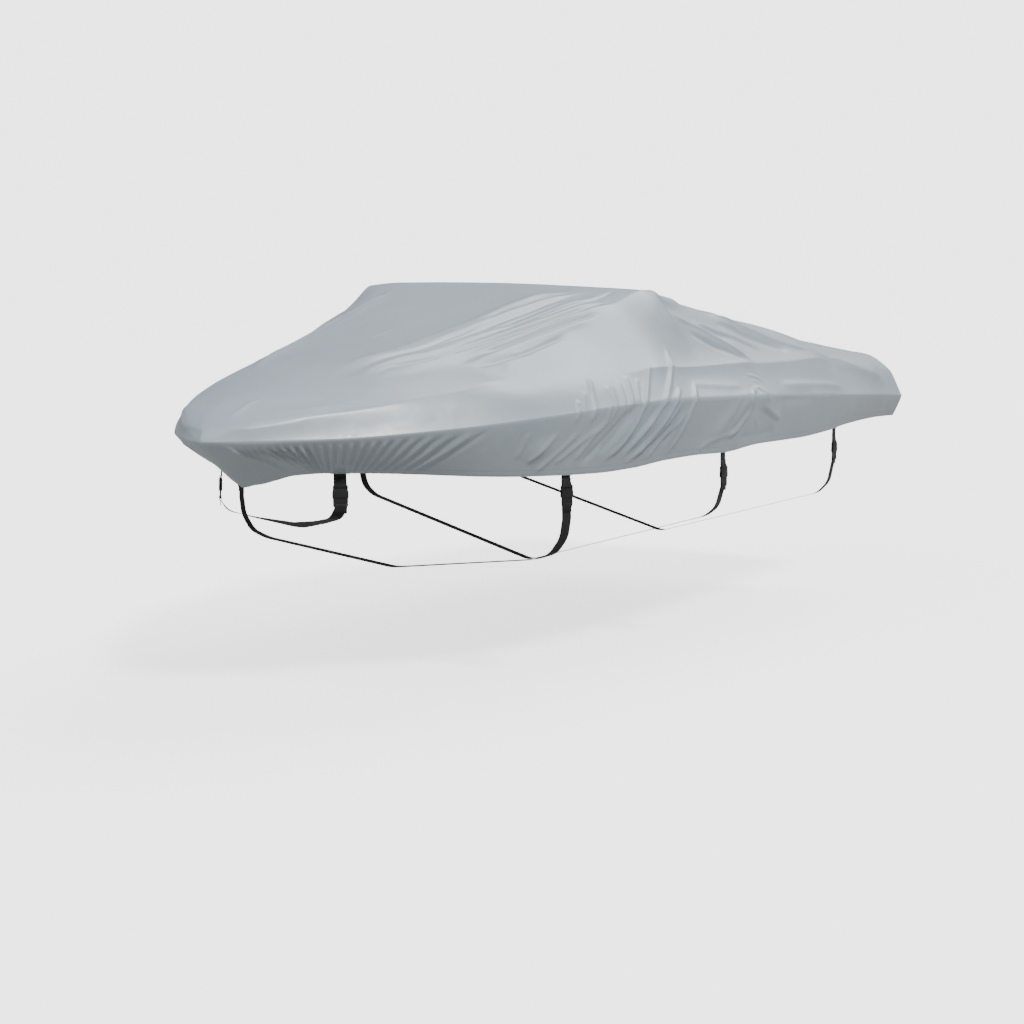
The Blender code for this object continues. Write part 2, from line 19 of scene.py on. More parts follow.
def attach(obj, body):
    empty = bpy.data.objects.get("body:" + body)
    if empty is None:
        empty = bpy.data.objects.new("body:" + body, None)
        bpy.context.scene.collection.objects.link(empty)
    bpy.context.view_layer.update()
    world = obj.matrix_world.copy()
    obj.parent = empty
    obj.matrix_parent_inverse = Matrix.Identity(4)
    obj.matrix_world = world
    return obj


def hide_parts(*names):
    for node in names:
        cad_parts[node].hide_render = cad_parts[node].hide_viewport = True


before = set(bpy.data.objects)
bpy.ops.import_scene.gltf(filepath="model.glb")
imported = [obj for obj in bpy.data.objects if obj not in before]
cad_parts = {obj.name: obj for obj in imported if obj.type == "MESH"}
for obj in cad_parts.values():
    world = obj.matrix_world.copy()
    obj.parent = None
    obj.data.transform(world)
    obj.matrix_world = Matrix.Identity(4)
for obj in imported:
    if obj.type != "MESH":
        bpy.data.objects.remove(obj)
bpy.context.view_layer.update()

# ---- The cloth's shape, as in the part's source ----

TOP_AFT, TOP_UP, CLOTH = 2.07, 1.663, 0.002
TOP_LEAN, LEAN_REACH, TRANSOM_BELLY = 0.024, 0.45, 0.02
PLAN_POWER, SKIRT_CURVE = 0.7, 1.25
PORT, STARBOARD = 1, -1
SIDES = {"port": PORT, "starboard": STARBOARD}

Station = namedtuple("Station",
                     "aft half rail edge_in edge_up shoulder shoulder_up crown hem_aft hem_in")
STATIONS = [Station(*row) for row in (
    (0.00, 0.000, 1.048, 0.000, 0.000, 0.000, 1.048, 1.048, 0.233, 0.000),
    (0.03, 0.079, 1.049, 0.020, 0.020, 0.035, 1.080, 1.090, 0.206, 0.069),
    (0.10, 0.183, 1.050, 0.045, 0.060, 0.085, 1.130, 1.145, 0.162, 0.127),
    (0.30, 0.395, 1.055, 0.065, 0.095, 0.215, 1.190, 1.225, 0.116, 0.125),
    (0.60, 0.642, 1.078, 0.070, 0.100, 0.410, 1.258, 1.305, 0.080, 0.119),
    (1.00, 0.870, 1.115, 0.075, 0.105, 0.520, 1.335, 1.400, 0.036, 0.093),
    (1.45, 0.995, 1.148, 0.085, 0.110, 0.620, 1.450, 1.520, 0.012, 0.070),
    (1.83, 1.038, 1.157, 0.100, 0.110, 0.700, 1.563, 1.615, 0.003, 0.055),
    (2.07, 1.053, 1.155, 0.118, 0.110, 0.735, 1.646, 1.663, 0.000, 0.046),
    (2.30, 1.059, 1.150, 0.125, 0.115, 0.705, 1.602, 1.640, 0.000, 0.043),
    (2.84, 1.060, 1.138, 0.125, 0.130, 0.700, 1.519, 1.570, 0.000, 0.040),
    (3.60, 1.040, 1.115, 0.115, 0.147, 0.700, 1.420, 1.470, 0.000, 0.042),
    (4.30, 1.005, 1.090, 0.095, 0.155, 0.715, 1.343, 1.390, 0.000, 0.047),
    (4.60, 0.987, 1.077, 0.083, 0.152, 0.745, 1.312, 1.345, 0.000, 0.050),
    (4.70, 0.982, 1.071, 0.081, 0.150, 0.757, 1.303, 1.330, 0.000, 0.050),
    (4.74, 0.980, 1.069, 0.080, 0.145, 0.760, 1.286, 1.306, 0.000, 0.050),
)]
LENGTH = STATIONS[-1].aft
SECTION_SHARES = (0.0, 0.17, 0.40, 0.60, 0.80, 1.0)   # rail, edge, shoulder, two crown points, centre
CROWN_SHARES = np.array((2 / 3, 1 / 3, 0.0))

Hem = namedtuple("Hem", "aft up")
HEM = [Hem(*row) for row in (
    (0.00, 0.860), (0.03, 0.861), (0.10, 0.871), (0.15, 0.888), (0.20, 0.905), (0.30, 0.913),
    (0.45, 0.910), (0.65, 0.899), (0.80, 0.889), (1.00, 0.880), (1.36, 0.874), (1.58, 0.881),
    (1.83, 0.900), (2.07, 0.907), (2.35, 0.902), (2.73, 0.920), (3.20, 0.920), (3.57, 0.930),
    (3.94, 0.951), (4.37, 0.962), (4.74, 0.955),
)]


def fair(knots, values, at, flat_end=False):
    """A smooth curve through the knots that never overshoots them."""
    knots, values = np.asarray(knots, float), np.asarray(values, float)
    run = np.diff(knots)
    rise = np.diff(values) / run
    slope = np.empty(len(knots))
    slope[0], slope[-1] = rise[0], 0.0 if flat_end else rise[-1]
    for i in range(1, len(knots) - 1):
        before, after = rise[i - 1], rise[i]
        weight_before, weight_after = 2 * run[i] + run[i - 1], run[i] + 2 * run[i - 1]
        turning = before * after <= 0
        slope[i] = 0.0 if turning else (weight_before + weight_after) / (
            weight_before / before + weight_after / after)
    at = np.clip(at, knots[0], knots[-1])
    i = np.clip(np.searchsorted(knots, at, side="right") - 1, 0, len(run) - 1)
    t = (at - knots[i]) / run[i]
    return (values[i] * (1 + 2 * t) * (1 - t) ** 2 + slope[i] * run[i] * t * (1 - t) ** 2
            + values[i + 1] * t * t * (3 - 2 * t) + slope[i + 1] * run[i] * t * t * (t - 1))


def along(table, column, aft):
    """A table's column at a distance, or an array of them, aft of the tip."""
    knots = [row.aft ** PLAN_POWER for row in table]
    return fair(knots, [getattr(row, column) for row in table], np.asarray(aft, float) ** PLAN_POWER)


def place(aft, y, up):
    """From the tables' measures to the part's frame, for numbers or arrays."""
    aft, y, up = np.broadcast_arrays(TOP_AFT - aft, y, up - TOP_UP + CLOTH)
    return np.stack([aft, y, up], axis=-1).astype(float)


def section(aft, shares):
    """Distance out and height along the cross section, from the rail (0) to the centreline (1)."""
    half, rail, shoulder, shoulder_up, crown = (
        float(along(STATIONS, name, aft)) for name in ("half", "rail", "shoulder", "shoulder_up", "crown"))
    edge_out = half - float(along(STATIONS, "edge_in", aft))
    edge_up = rail + float(along(STATIONS, "edge_up", aft))
    out = [half, edge_out, shoulder, *(shoulder * CROWN_SHARES)]
    up = [rail, edge_up, shoulder_up, *(shoulder_up + (crown - shoulder_up) * (1 - CROWN_SHARES ** 2))]
    return fair(SECTION_SHARES, out, shares), fair(SECTION_SHARES, up, shares, flat_end=True)


def lean(aft, y, up):
    """Rise or drop of the windshield line's ends."""
    reach = math.exp(-((aft - TOP_AFT) / LEAN_REACH) ** 2)
    shoulder = float(along(STATIONS, "shoulder", TOP_AFT))
    rail = float(along(STATIONS, "rail", TOP_AFT))
    on_top = np.clip((up - rail) / (TOP_UP - rail), 0.0, 1.0)
    return -TOP_LEAN * np.clip(y / shoulder, -1.0, 1.0) * reach * on_top


def skirt_point(aft, share):
    """A point below the rail: share 0 at the rail, 1 at the hem.  Returns aft, out and up."""
    turn_in = share ** SKIRT_CURVE
    rail = along(STATIONS, "rail", aft)
    return (aft + along(STATIONS, "hem_aft", aft) * turn_in,
            along(STATIONS, "half", aft) - along(STATIONS, "hem_in", aft) * turn_in,
            rail + (along(HEM, "up", aft) - rail) * share)


# ---- Straps and buckles, as in the part's source ----

GAP, WEBBING, WEBBING_THICK, TAB_SEWN, LAP = 0.0005, 0.050, 0.0022, 0.055, 0.030
Strap = namedtuple("Strap", "name station keel_rake drop route")   # the route as (aft, out, up)
STRAPS = (
    Strap("bow", 0.335, 30.0, 0.086, (
        (0.450, 0.298, 0.775), (0.457, 0.268, 0.737), (0.500, 0.160, 0.712),
        (0.560, 0.0, 0.685))),
    Strap("fore", 1.195, 0.0, 0.076, (
        (1.220, 0.850, 0.700), (1.220, 0.838, 0.620), (1.220, 0.787, 0.551),
        (1.220, 0.700, 0.522), (1.220, 0.0, 0.440))),
    Strap("mid", 2.340, 0.0, 0.096, (
        (2.340, 1.012, 0.750), (2.340, 0.985, 0.655), (2.340, 0.930, 0.610),
        (2.340, 0.0, 0.345))),
    Strap("aft", 3.720, 0.0, 0.108, (
        (3.720, 0.985, 0.770), (3.720, 0.962, 0.660), (3.720, 0.905, 0.600),
        (3.720, 0.0, 0.345))),
)
KEEL_ROUND, BEND_STEPS, BEND_SHARE, MOST_MITRE, TURN_STEPS = 0.03, 6, 0.45, 2.0, 14
EDGE_STEPS, FACE_STEPS = 6, 4     # facets of the webbing's rounded edges and its flat faces
SEAT_SHARES, SEAT_ACROSS = (1.0, 0.6, 0.3, 0.1), (-1.05, -0.5, 0.0, 0.5, 1.05)
PROBE_DEPTH, HEM_PROBES = 0.06, (0.0015, -0.003, -0.006, -0.009)
LOW_SKIRT, SLOPE_STEP = 0.8, 0.01
BAR_HALF, BAR_AT = 0.0018, 0.0378
TURN = BAR_HALF * math.sqrt(2) + GAP + WEBBING_THICK / 2
BUCKLE_BEVEL, BEVEL_STEPS = 0.0006, 2
SAME_SPOT, SAME_PLANE = 1e-5, 1.0   # metres and degrees within which a solid's facets are joined
LOOSE = 0.0044            # how far a webbing loop stands off its bar, so that it fills the slot


# ---- Looks ----

CLOTH_DARK, CLOTH_LIGHT = (0.325, 0.385, 0.435), (0.365, 0.425, 0.475)
CLOTH_DUST = (0.46, 0.49, 0.51)
# Each noise's scale, detail and roughness
BLOTCH, SPECKLE, SOFT, CRUMPLE = (2.2, 4.0, 0.6), (38.0, 3.0, 0.6), (14.0, 3.0, 0.5), (55.0, 4.0, 0.6)
WEBBING_WORN, PLASTIC_WORN, GRAIN = (60.0, 4.0, 0.6), (45.0, 3.0, 0.6), (900.0, 3.0, 0.6)
CLOTH_RELIEF = (0.0010, 0.00022, 0.00035, 0.0004, 0.00006)   # soft, crumple, groove, thread, weave
WEBBING_RELIEF, PLASTIC_RELIEF = 0.0004, 0.00008
THREAD, THREAD_SHOWS = (0.20, 0.22, 0.24), 0.7
STITCH, STITCH_WIDE, STITCH_ROWS = 0.006, 0.0011, (0.006, 0.026)   # pitch, width, rises over the hem
STITCH_GAP = -0.55            # the sine below which no thread shows
PUCKER = 0.004                # how far from a stitch row the cloth dips
CLOTH_THREADS, WEBBING_THREADS = (0.0011, 0.0011), (0.0016, 0.0023)   # pitch of the two weaves
WEBBING_DARK, WEBBING_LIGHT = (0.007, 0.007, 0.008), (0.018, 0.018, 0.020)
WEBBING_DUST = (0.040, 0.040, 0.042)
PLASTIC_DARK, PLASTIC_LIGHT = (0.009, 0.009, 0.010), (0.020, 0.020, 0.022)
FLOOR_COLOUR, BACKDROP_COLOUR, BACKDROP_GLOW = (0.90, 0.90, 0.90), (0.0, 0.0, 0.0), (1.0, 1.0, 1.0)
FLOOR_STRENGTH, BACKDROP_STRENGTH = 2.0, 3.4     # so that the floor is as pale as the backdrop
STAGE_REACH, STAGE_SIDES = 70.0, 96
SKY_LIGHT, GROUND_LIGHT = (0.22, 0.24, 0.275), (0.42, 0.41, 0.40)   # above and below the horizon
HORIZON_SOFT = 0.1
LAMPS = (                     # name, direction to it, strength, angle
    ("key", (0.354, 0.612, 0.707), 3.1, 10.0),
    ("back", (-0.635, 0.101, 0.766), 2.0, 42.0),
    ("fill", (0.791, -0.212, 0.574), 1.0, 60.0),
)
CAMERA_AT, CAMERA_BEARING, CAMERA_DROP = (7.082, 4.470, -0.151), 31.9, 6.214
SENSOR, LENS = 36.0, 63.28

# ---- Folds and creases ----

def in_metres(measure):
    """A measure that is written in millimetres, or nested tuples of them."""
    return tuple(in_metres(m) for m in measure) if isinstance(measure, tuple) else measure / 1000


def on_side(side, kind, rows):
    """Lines of one kind on one side of the cloth."""
    return [kind(side, *in_metres(row)) for row in rows]


# The rows of these tables are in millimetres: how wide and how high a line is, and the points that it
# runs through, as (aft, girth).  A negative height is a trough.
Crease = namedtuple("Crease", "side width height points")

# The main folds, which the part's solid has too
FOLDS = on_side(PORT, Crease, (
    (60, 12, ((600, 500), (1900, 860))),
    (55, 10, ((500, 380), (1930, 680))),
    (55, 8, ((970, 380), (1890, 570))),
    (60, 14, ((2300, 450), (2740, 200))),
    (55, 8, ((2700, 480), (3540, 280))),
    (55, 10, ((3540, 280), (4480, 100))),
    (45, 10, ((2590, 40), (2120, -200))),
    (45, 8, ((2590, 40), (2910, -150))),
    (38, 9, ((1080, -80), (960, -190))),
    (38, 9, ((1570, -20), (1370, -220))),
    (38, 9, ((1710, -20), (1490, -210))),
    (38, 9, ((1830, -10), (1610, -170))),
    (38, 9, ((1960, -10), (1810, -210))),
)) + on_side(STARBOARD, Crease, (
    (60, 9, ((620, 440), (1860, 760))),
    (60, 10, ((2350, 430), (2850, 200))),
    (60, 10, ((2600, 500), (3900, 220))),
))

# The finer creases, placed one by one from the photograph
FORE_FOLD = ((2330, 431), (2440, 385), (2550, 318), (2660, 260))
AFT_FOLD = ((2660, 500), (2810, 468), (2950, 421), (3090, 374), (3230, 321), (3370, 281))
BESIDE_STEM = ((110, -20), (120, -120), (100, -260))
CREASES = on_side(PORT, Crease, (
    # the bundle from the windshield's end down to the foredeck
    (10, -6.6, ((610, 474), (790, 550), (940, 589), (1120, 642), (1300, 675))),
    (11, -8, ((1340, 705), (1500, 754), (1630, 769), (1800, 791), (1950, 810))),
    (8, 3, ((1460, 780), (1600, 800), (1800, 830), (1950, 850))),
    (22, 9, ((510, 387), (630, 426), (780, 497), (910, 523), (1120, 580), (1400, 615))),
    (12, -12, ((600, 395), (780, 444), (900, 473), (1010, 505), (1250, 530), (1530, 542), (1890, 571))),
    (10, -7, ((1460, 586), (1640, 598), (1810, 620), (2010, 677))),
    (9, 3.4, ((1300, 640), (1600, 680), (1900, 730))),
    (11, -11, ((1050, 430), (1180, 459), (1310, 472), (1580, 485), (1760, 498))),
    (10, -8.5, ((1000, 345), (1220, 378), (1360, 403), (1490, 423))),
    (12, -4, ((960, 344), (1090, 372), (1190, 385))),
    (20, 7, ((920, 375), (1100, 408), (1250, 437), (1450, 452), (1700, 475))),
    (8, 3.6, ((610, 361), (700, 385), (800, 400))),
    (8, 3.6, ((880, 452), (990, 481))),
    (8, 3.4, ((1120, 338), (1260, 355))),
    (12, -2, ((780, 850), (970, 941), (1180, 1010), (1250, 901))),
    (9, 2.6, ((1020, 965), (1140, 1011), (1270, 1055))),
    (8, 3.6, ((950, 640), (1250, 690), (1600, 735), (1950, 770))),
    (8, -4.6, ((850, 560), (1150, 625), (1500, 680), (1900, 745))),
    (8, 4, ((750, 515), (1050, 580), (1400, 640), (1850, 700))),
    (7, -4.4, ((1100, 560), (1450, 600), (1900, 650))),
    (7, 4, ((1200, 500), (1550, 510), (1900, 540))),
    (7, 3.6, ((1000, 450), (1350, 500), (1700, 522))),
    # small creases on the bow
    (9, 3.6, ((90, 145), (120, 178), (190, 269), (240, 310))),
    (8, 2.6, ((250, 135), (330, 156), (420, 165))),
    # from the windshield's end towards the stern
    (12, 6, ((2200, 470), *FORE_FOLD, (2770, 180))),
    (16, -6, ((2300, 385), (2460, 290), (2590, 246), (2710, 184))),
    (50, -13, ((2130, 560), (2300, 495), (2420, 424), (2580, 366), (2760, 310))),
    (18, 8, ((2420, 440), (2510, 418), (2710, 372), (2880, 322), (3000, 260))),
    (24, -8, ((2660, 440), (2780, 415), (2930, 352), (3080, 307), (3300, 245))),
    (10, 5, (*AFT_FOLD, (3600, 255))),
    (46, -13, ((2800, 545), (3140, 463), (3280, 413), (3420, 368), (3650, 325))),
    (18, 9, ((2950, 520), (3300, 475), (3640, 406), (3990, 332))),
    (20, -6, ((3900, 270), (4050, 215), (4160, 185))),
    # the strip over the rail
    (20, 5, ((2000, 74), (2250, 64), (2510, 52))),
    (22, 7, ((2900, 56), (3060, 53), (3560, 50), (3800, 48))),
    (30, -6, ((2800, -20), (3050, -12), (3300, -4))),
    # the peak over the third strap and its legs
    (12, 11, ((2620, 45), (2520, 0), (2530, -59), (2470, -109), (2410, -160), (2310, -180))),
    (9, 4.6, ((2350, -165), (2150, -195), (2070, -240))),
    (16, -6, ((2440, 0), (2370, -80), (2300, -140))),
    (9, 8, ((2620, 50), (2660, 36), (2710, -22))),
    (8, 4, ((2620, 114), (2680, 108), (2750, 85))),
    (8, 4.4, ((2640, 90), (2690, 70), (2710, 12))),
    (10, -2.4, ((2600, -55), (2640, -68), (2740, -95), (2890, -137))),
    (10, 4, ((2660, -40), (2760, -72), (2900, -110))),
    (9, 3, ((2590, -90), (2660, -150))),
    (18, -2.6, ((2450, -190), (2600, -188), (2850, -172))),
    # the windshield's end stands a little higher than the solid
    (40, 15, ((2080, 600), (2220, 580), (2360, 570), (2500, 560))),
    # the cloth draws in beside the stem
    (65, -18, BESIDE_STEM),
)) + on_side(STARBOARD, Crease, (
    # the far edge of the foredeck and of the windshield hangs a little lower than the solid
    (110, -20, ((460, 80), (660, 165), (910, 250), (1230, 360), (1460, 421), (1710, 482), (1990, 571),
        (2250, 620))),
    (70, -15, ((1700, 480), (1900, 530), (1980, 570), (2060, 620))),
    (32, 8, ((180, 22), (340, 22), (540, 22))),
    # the cloth draws in beside the stem
    (65, -28, BESIDE_STEM),
    # the unseen side, softer
    (20, 7, ((600, 450), (950, 560), (1300, 620), (1880, 770))),
    (12, -5.6, ((780, 420), (1200, 520), (1700, 600))),
    (16, 5.6, ((900, 360), (1300, 440), (1720, 500))),
    (12, -5, ((1100, 390), (1400, 450), (1660, 520))),
    (26, 9, ((2280, 440), (2600, 310), (2860, 190))),
    (30, -8, ((2200, 520), (2440, 400), (2720, 290))),
    (30, 11, ((2560, 510), (3100, 390), (3600, 280), (4000, 210))),
    (36, -8, ((2800, 500), (3200, 420), (3600, 350))),
    (20, 5, ((2100, 70), (2800, 55), (3700, 50))),
    (12, 7, ((2520, 50), (2440, -50), (2360, -150), (2280, -220))),
    (12, 5, ((2520, 50), (2620, -20), (2740, -100))),
))

# Bends are sharp crests with long flanks, where the cloth turns from one plane to the next.
# `below` and `above` are how far the flank reaches on the side of the hem and of the top.
Bend = namedtuple("Bend", "side below above height points")
BOW_EDGE = ((-80, 120), (20, 75), (90, 50), (120, 57), (160, 64), (220, 81), (290, 98), (380, 107))
BENDS = on_side(PORT, Bend, (
    # the deck edge, from the stem aft
    (55, 120, 15, (*BOW_EDGE, (500, 124), (640, 146), (750, 156), (870, 189), (1020, 230))),
    # the wing of cloth beside the windshield: its fore, upper and after edges
    (60, 60, 6, ((1000, 200), (1050, 280), (1120, 350), (1200, 400))),
    (70, 135, 24, ((500, 480), (610, 525), (800, 602), (1000, 678), (1170, 718), (1330, 735),
        (1530, 772), (1780, 795), (2020, 815))),
    (50, 90, 10, ((500, 370), (640, 420), (900, 485), (1250, 545), (1530, 560), (1890, 590))),
    (80, 60, 11, ((2100, 600), (2130, 554), (2150, 472), (2200, 371), (2290, 299))),
    # the two great folds that run aft from the windshield's end
    (45, 45, 14, ((2170, 490), *FORE_FOLD, (2800, 175))),
    (50, 45, 12, (*AFT_FOLD, (3600, 253), (3950, 215))),
    # the strip over the rail, under the top's planes
    (110, 150, 42, ((1500, 150), (1950, 162), (2340, 177), (2750, 176), (3140, 178), (3450, 192),
        (3850, 208))),
    (60, 80, 19, ((3750, 235), (3940, 205), (4120, 146), (4300, 118), (4550, 85))),
)) + on_side(STARBOARD, Bend, (
    # the same edges on the unseen side
    (55, 120, 15, (*BOW_EDGE, (450, 112))),
    (70, 140, 14, ((700, 500), (1100, 640), (1600, 740), (2000, 790))),
    (55, 55, 11, ((2100, 620), (2150, 472), (2270, 310))),
    (80, 100, 16, ((1500, 140), (2100, 170), (2900, 178), (3800, 200))),
    (50, 60, 11, ((3900, 215), (4150, 150), (4450, 95))),
))
BEND_CREST = 0.004        # how far round a bend's crest the cloth is rounded

# Gathers amidships cross the rail: up and slightly aft over it, and slanting forward below it
GATHERS = in_metres((
    (8, 5.6, ((1200, 60), (1180, 0), (1160, -45))),
    (8, 4.2, ((1260, 90), (1230, 40), (1220, 0))),
    (10, 7.8, ((1340, 160), (1300, 90), (1270, 0), (1240, -60))),
    (9, 5.6, ((1400, 110), (1360, 0), (1330, -60))),
    (9, 6.2, ((1430, 120), (1410, 50), (1390, 0), (1360, -60))),
    (7, 4.2, ((1500, 120), (1450, 0))),
    (10, 6.4, ((1570, 145), (1520, 50), (1490, -10))),
    (8, 5, ((1620, 120), (1570, 50), (1540, -10))),
    (11, 9.8, ((1760, 190), (1660, 80), (1580, 0), (1540, -69), (1510, -104), (1460, -168),
        (1360, -237))),
    (10, 9.8, ((2000, 300), (1930, 176), (1780, 40), (1710, -13), (1620, -96), (1560, -146),
        (1470, -246))),
    (7, 4.2, ((1960, 240), (1880, 120), (1790, 30))),
    (9, 9.8, ((1900, 60), (1810, 0), (1730, -93), (1670, -143), (1560, -237))),
    (9, 8.4, ((1880, 20), (1800, -65), (1740, -120), (1620, -194), (1510, -259))),
    (9, 7, ((1900, -50), (1840, -117), (1760, -153), (1710, -203), (1660, -254))),
    (10, 9.8, ((2060, 80), (1960, 0), (1890, -129), (1830, -236))),
    (9, 7, ((1370, -40), (1290, -95), (1200, -215))),
    (9, 6.2, ((1320, -70), (1230, -121), (1100, -215))),
    (9, 6.2, ((1200, -80), (1110, -160), (1020, -245))),
    (10, 6.2, ((1090, -70), (970, -194))),
    (9, 4.8, ((950, -50), (920, -175))),
    (14, -6.9, ((1500, -10), (1390, -97), (1240, -235))),
    (16, -6.9, ((1560, 20), (1500, -34), (1420, -110), (1330, -200))),
    (12, -4.6, ((1670, -20), (1580, -100), (1480, -200))),
    (14, -4.6, ((1860, -90), (1760, -200))),
))
STARBOARD_SOFTER = 0.6    # the unseen side's gathers against the port side's

# The fan of creases that the first strap pulls into the bow's side
FAN_HUB, FAN_CLOSING = 0.345, 0.48          # the fan narrows towards here, to this share, at its feet
FAN_TOPS = in_metres((30, 50, 68, 86, 106, 127, 150, 174, 200, 227, 254, 282, 312, 345, 378, 412,
                      448, 488, 535, 590, 655, 735, 830))
FAN_FROM, FAN_TO = -0.015, -0.226           # girths between which the fan runs
FAN_STEM, FAN_STEM_TO = 2.0, 0.21           # it is so many times higher, so far from the stem
FAN_WIDTH, FAN_HEIGHT, FAN_TROUGH = 0.0066, 0.0062, -0.9

# How a line rises and dies away: a share of its length, and at least so many of its own widths
FOLD_END, CREASE_END, BEND_END, END_WIDTHS = 0.12, 0.16, 0.15, 3.0
EASINGS, EASED = 2, 0.25  # how often a line's corners are cut, and how far along each leg
BELL_REACH, CREST_REACH = 3, 6    # widths beyond which a line no longer lifts the cloth
TINY = 1e-6

# ---- Mesh density of the cloth ----

Run = namedtuple("Run", "end count")   # even steps up to an end, aft or as a share of the girth
ROWS = (Run(0.03, 8), Run(0.60, 114), Run(0.95, 44), Run(2.15, 166), Run(2.90, 68), Run(4.66, 74),
        Run(4.74, 6))
COLUMNS = (Run(0.17, 30), Run(0.40, 64), Run(0.62, 42), Run(1.0, 28))
ACROSS = sum(run.count for run in COLUMNS)
SKIRT_ROWS = 26
HEM_THICK = 0.0026        # the turned hem, from its outer to its inner face
HEM_STITCHED = 0.0010     # how far behind the cloth the flap's stitched edge lies
HEM_FLAP_ROWS = 3
HEM_ROLL_STEPS = 4
HEM_ROLL_STEP = 0.001     # how far each step of the roll lies below the stitches' coordinate
NO_HEM = (0.0, 1.0)       # a hem coordinate well away from the hem
BEYOND = 99.0             # an "aft" that no fold reaches, for the transom
Unevenness = namedtuple("Unevenness", "height per_aft per_girth layer")
UNEVEN = (Unevenness(0.0030, 1.7, 2.3, 7.0), Unevenness(0.0007, 9.0, 12.0, 20.0))   # slow and quick
TAB_SOFT, TAB_SHOWS = 0.010, 0.0012   # edge and height of a sewn strap end seen through the cloth


def spread(runs):
    """Values from 0 through each run's end, with that run's count of even steps."""
    values, start = [0.0], 0.0
    for end, count in runs:
        values += list(np.linspace(start, end, count + 1)[1:])
        start = end
    return np.array(values)


def creases():
    """Every fine crease, with the gathers and the fan written out as lines."""
    lines = list(CREASES)
    for side, share in ((PORT, 1.0), (STARBOARD, STARBOARD_SOFTER)):
        lines += [Crease(side, width, height * share, points) for width, height, points in GATHERS]
        for top, after in zip(FAN_TOPS, FAN_TOPS[1:] + FAN_TOPS[-1:]):
            high = FAN_HEIGHT * share * (FAN_STEM if top < FAN_STEM_TO else 1.0)
            for start, height in ((top, high), ((top + after) / 2, FAN_TROUGH * high)):
                foot = FAN_HUB + (start - FAN_HUB) * FAN_CLOSING
                lines.append(Crease(side, FAN_WIDTH, height, ((start, FAN_FROM), (foot, FAN_TO))))
    return lines


def eased(points):
    """The line with its corners cut, so that it bends gently."""
    points = np.array(points, float)
    for _ in range(EASINGS if len(points) > 2 else 0):
        before, after = points[:-1], points[1:]
        cut = np.stack([before * (1 - EASED) + after * EASED, before * EASED + after * (1 - EASED)], axis=1)
        points = np.concatenate([points[:1], cut.reshape(-1, 2)[1:-1], points[-1:]])
    return points


def line_lift(points, below, above, height, crest, end_share, aft, girth):
    """Lift of a ridge along a line: bell-shaped, or with long straight flanks where it has a crest."""
    legs = np.diff(points, axis=0)
    lengths = np.maximum(np.hypot(legs[:, 0], legs[:, 1]), TINY)
    starts = np.concatenate([[0.0], np.cumsum(lengths)])
    nearest, run, upper = np.full(aft.shape, np.inf), np.zeros(aft.shape), np.zeros(aft.shape)
    for (a, g), leg, length, start in zip(points, legs, lengths, starts):
        share = np.clip(((aft - a) * leg[0] + (girth - g) * leg[1]) / length ** 2, 0.0, 1.0)
        distance = np.hypot(aft - a - share * leg[0], girth - g - share * leg[1])
        closer = distance < nearest
        nearest = np.where(closer, distance, nearest)
        run = np.where(closer, start + share * length, run)
        upper = np.where(closer, (girth - g) * leg[0] - (aft - a) * leg[1], upper)
    width = np.where(upper > 0, above, below)
    rise = np.clip(end_share * starts[-1], END_WIDTHS * min(below, above), starts[-1] / 2)
    ends = np.minimum(np.minimum(run, starts[-1] - run), rise) / rise
    ends = ends * ends * (3 - 2 * ends)
    fall = (np.hypot(nearest, crest) - crest) / width if crest else (nearest / width) ** 2
    return height * ends * np.exp(-fall)


def folded(side, aft, girth):
    """How far folds, bends and creases lift the cloth, for arrays of places on it."""
    lift = np.zeros(len(aft))
    lines = [(c.side, c.width, c.width, c.height, c.points, 0.0, FOLD_END) for c in FOLDS]
    lines += [(b.side, b.below, b.above, b.height, b.points, BEND_CREST, BEND_END) for b in BENDS]
    lines += [(c.side, c.width, c.width, c.height, c.points, 0.0, CREASE_END) for c in creases()]
    for line_side, below, above, height, points, crest, end_share in lines:
        points = eased(points)
        reach = (CREST_REACH if crest else BELL_REACH) * max(below, above)
        low, high = np.min(points, axis=0) - reach, np.max(points, axis=0) + reach
        near = ((side == line_side) & (aft > low[0]) & (aft < high[0])
                & (girth > low[1]) & (girth < high[1]))
        lift[near] += line_lift(points, below, above, height, crest, end_share,
                                aft[near], girth[near])
    return lift


def rippled(cloth):
    """Slight unevenness that no named crease gives, over the cloth's own coordinates."""
    return np.array([
        sum(u.height * noise.noise(Vector((a * u.per_aft, c * u.per_girth, u.layer))) for u in UNEVEN)
        for a, c in cloth])


def over_tabs(lift, aft, girth):
    """The sewn strap ends behind the hem show as low raised oblongs, and no trough dips into them."""
    for strap in STRAPS:
        hem_girth = -np.linalg.norm(place(*skirt_point(strap.station, 1.0))
                                    - place(*skirt_point(strap.station, 0.0)))
        beside = np.clip((WEBBING / 2 + TAB_SOFT - np.abs(aft - strap.station)) / TAB_SOFT, 0, 1)
        above = np.clip((hem_girth + TAB_SEWN + TAB_SOFT - girth) / TAB_SOFT, 0, 1)
        lift = np.where(lift < 0, lift * (1 - beside * above), lift) + TAB_SHOWS * beside * above
    return lift


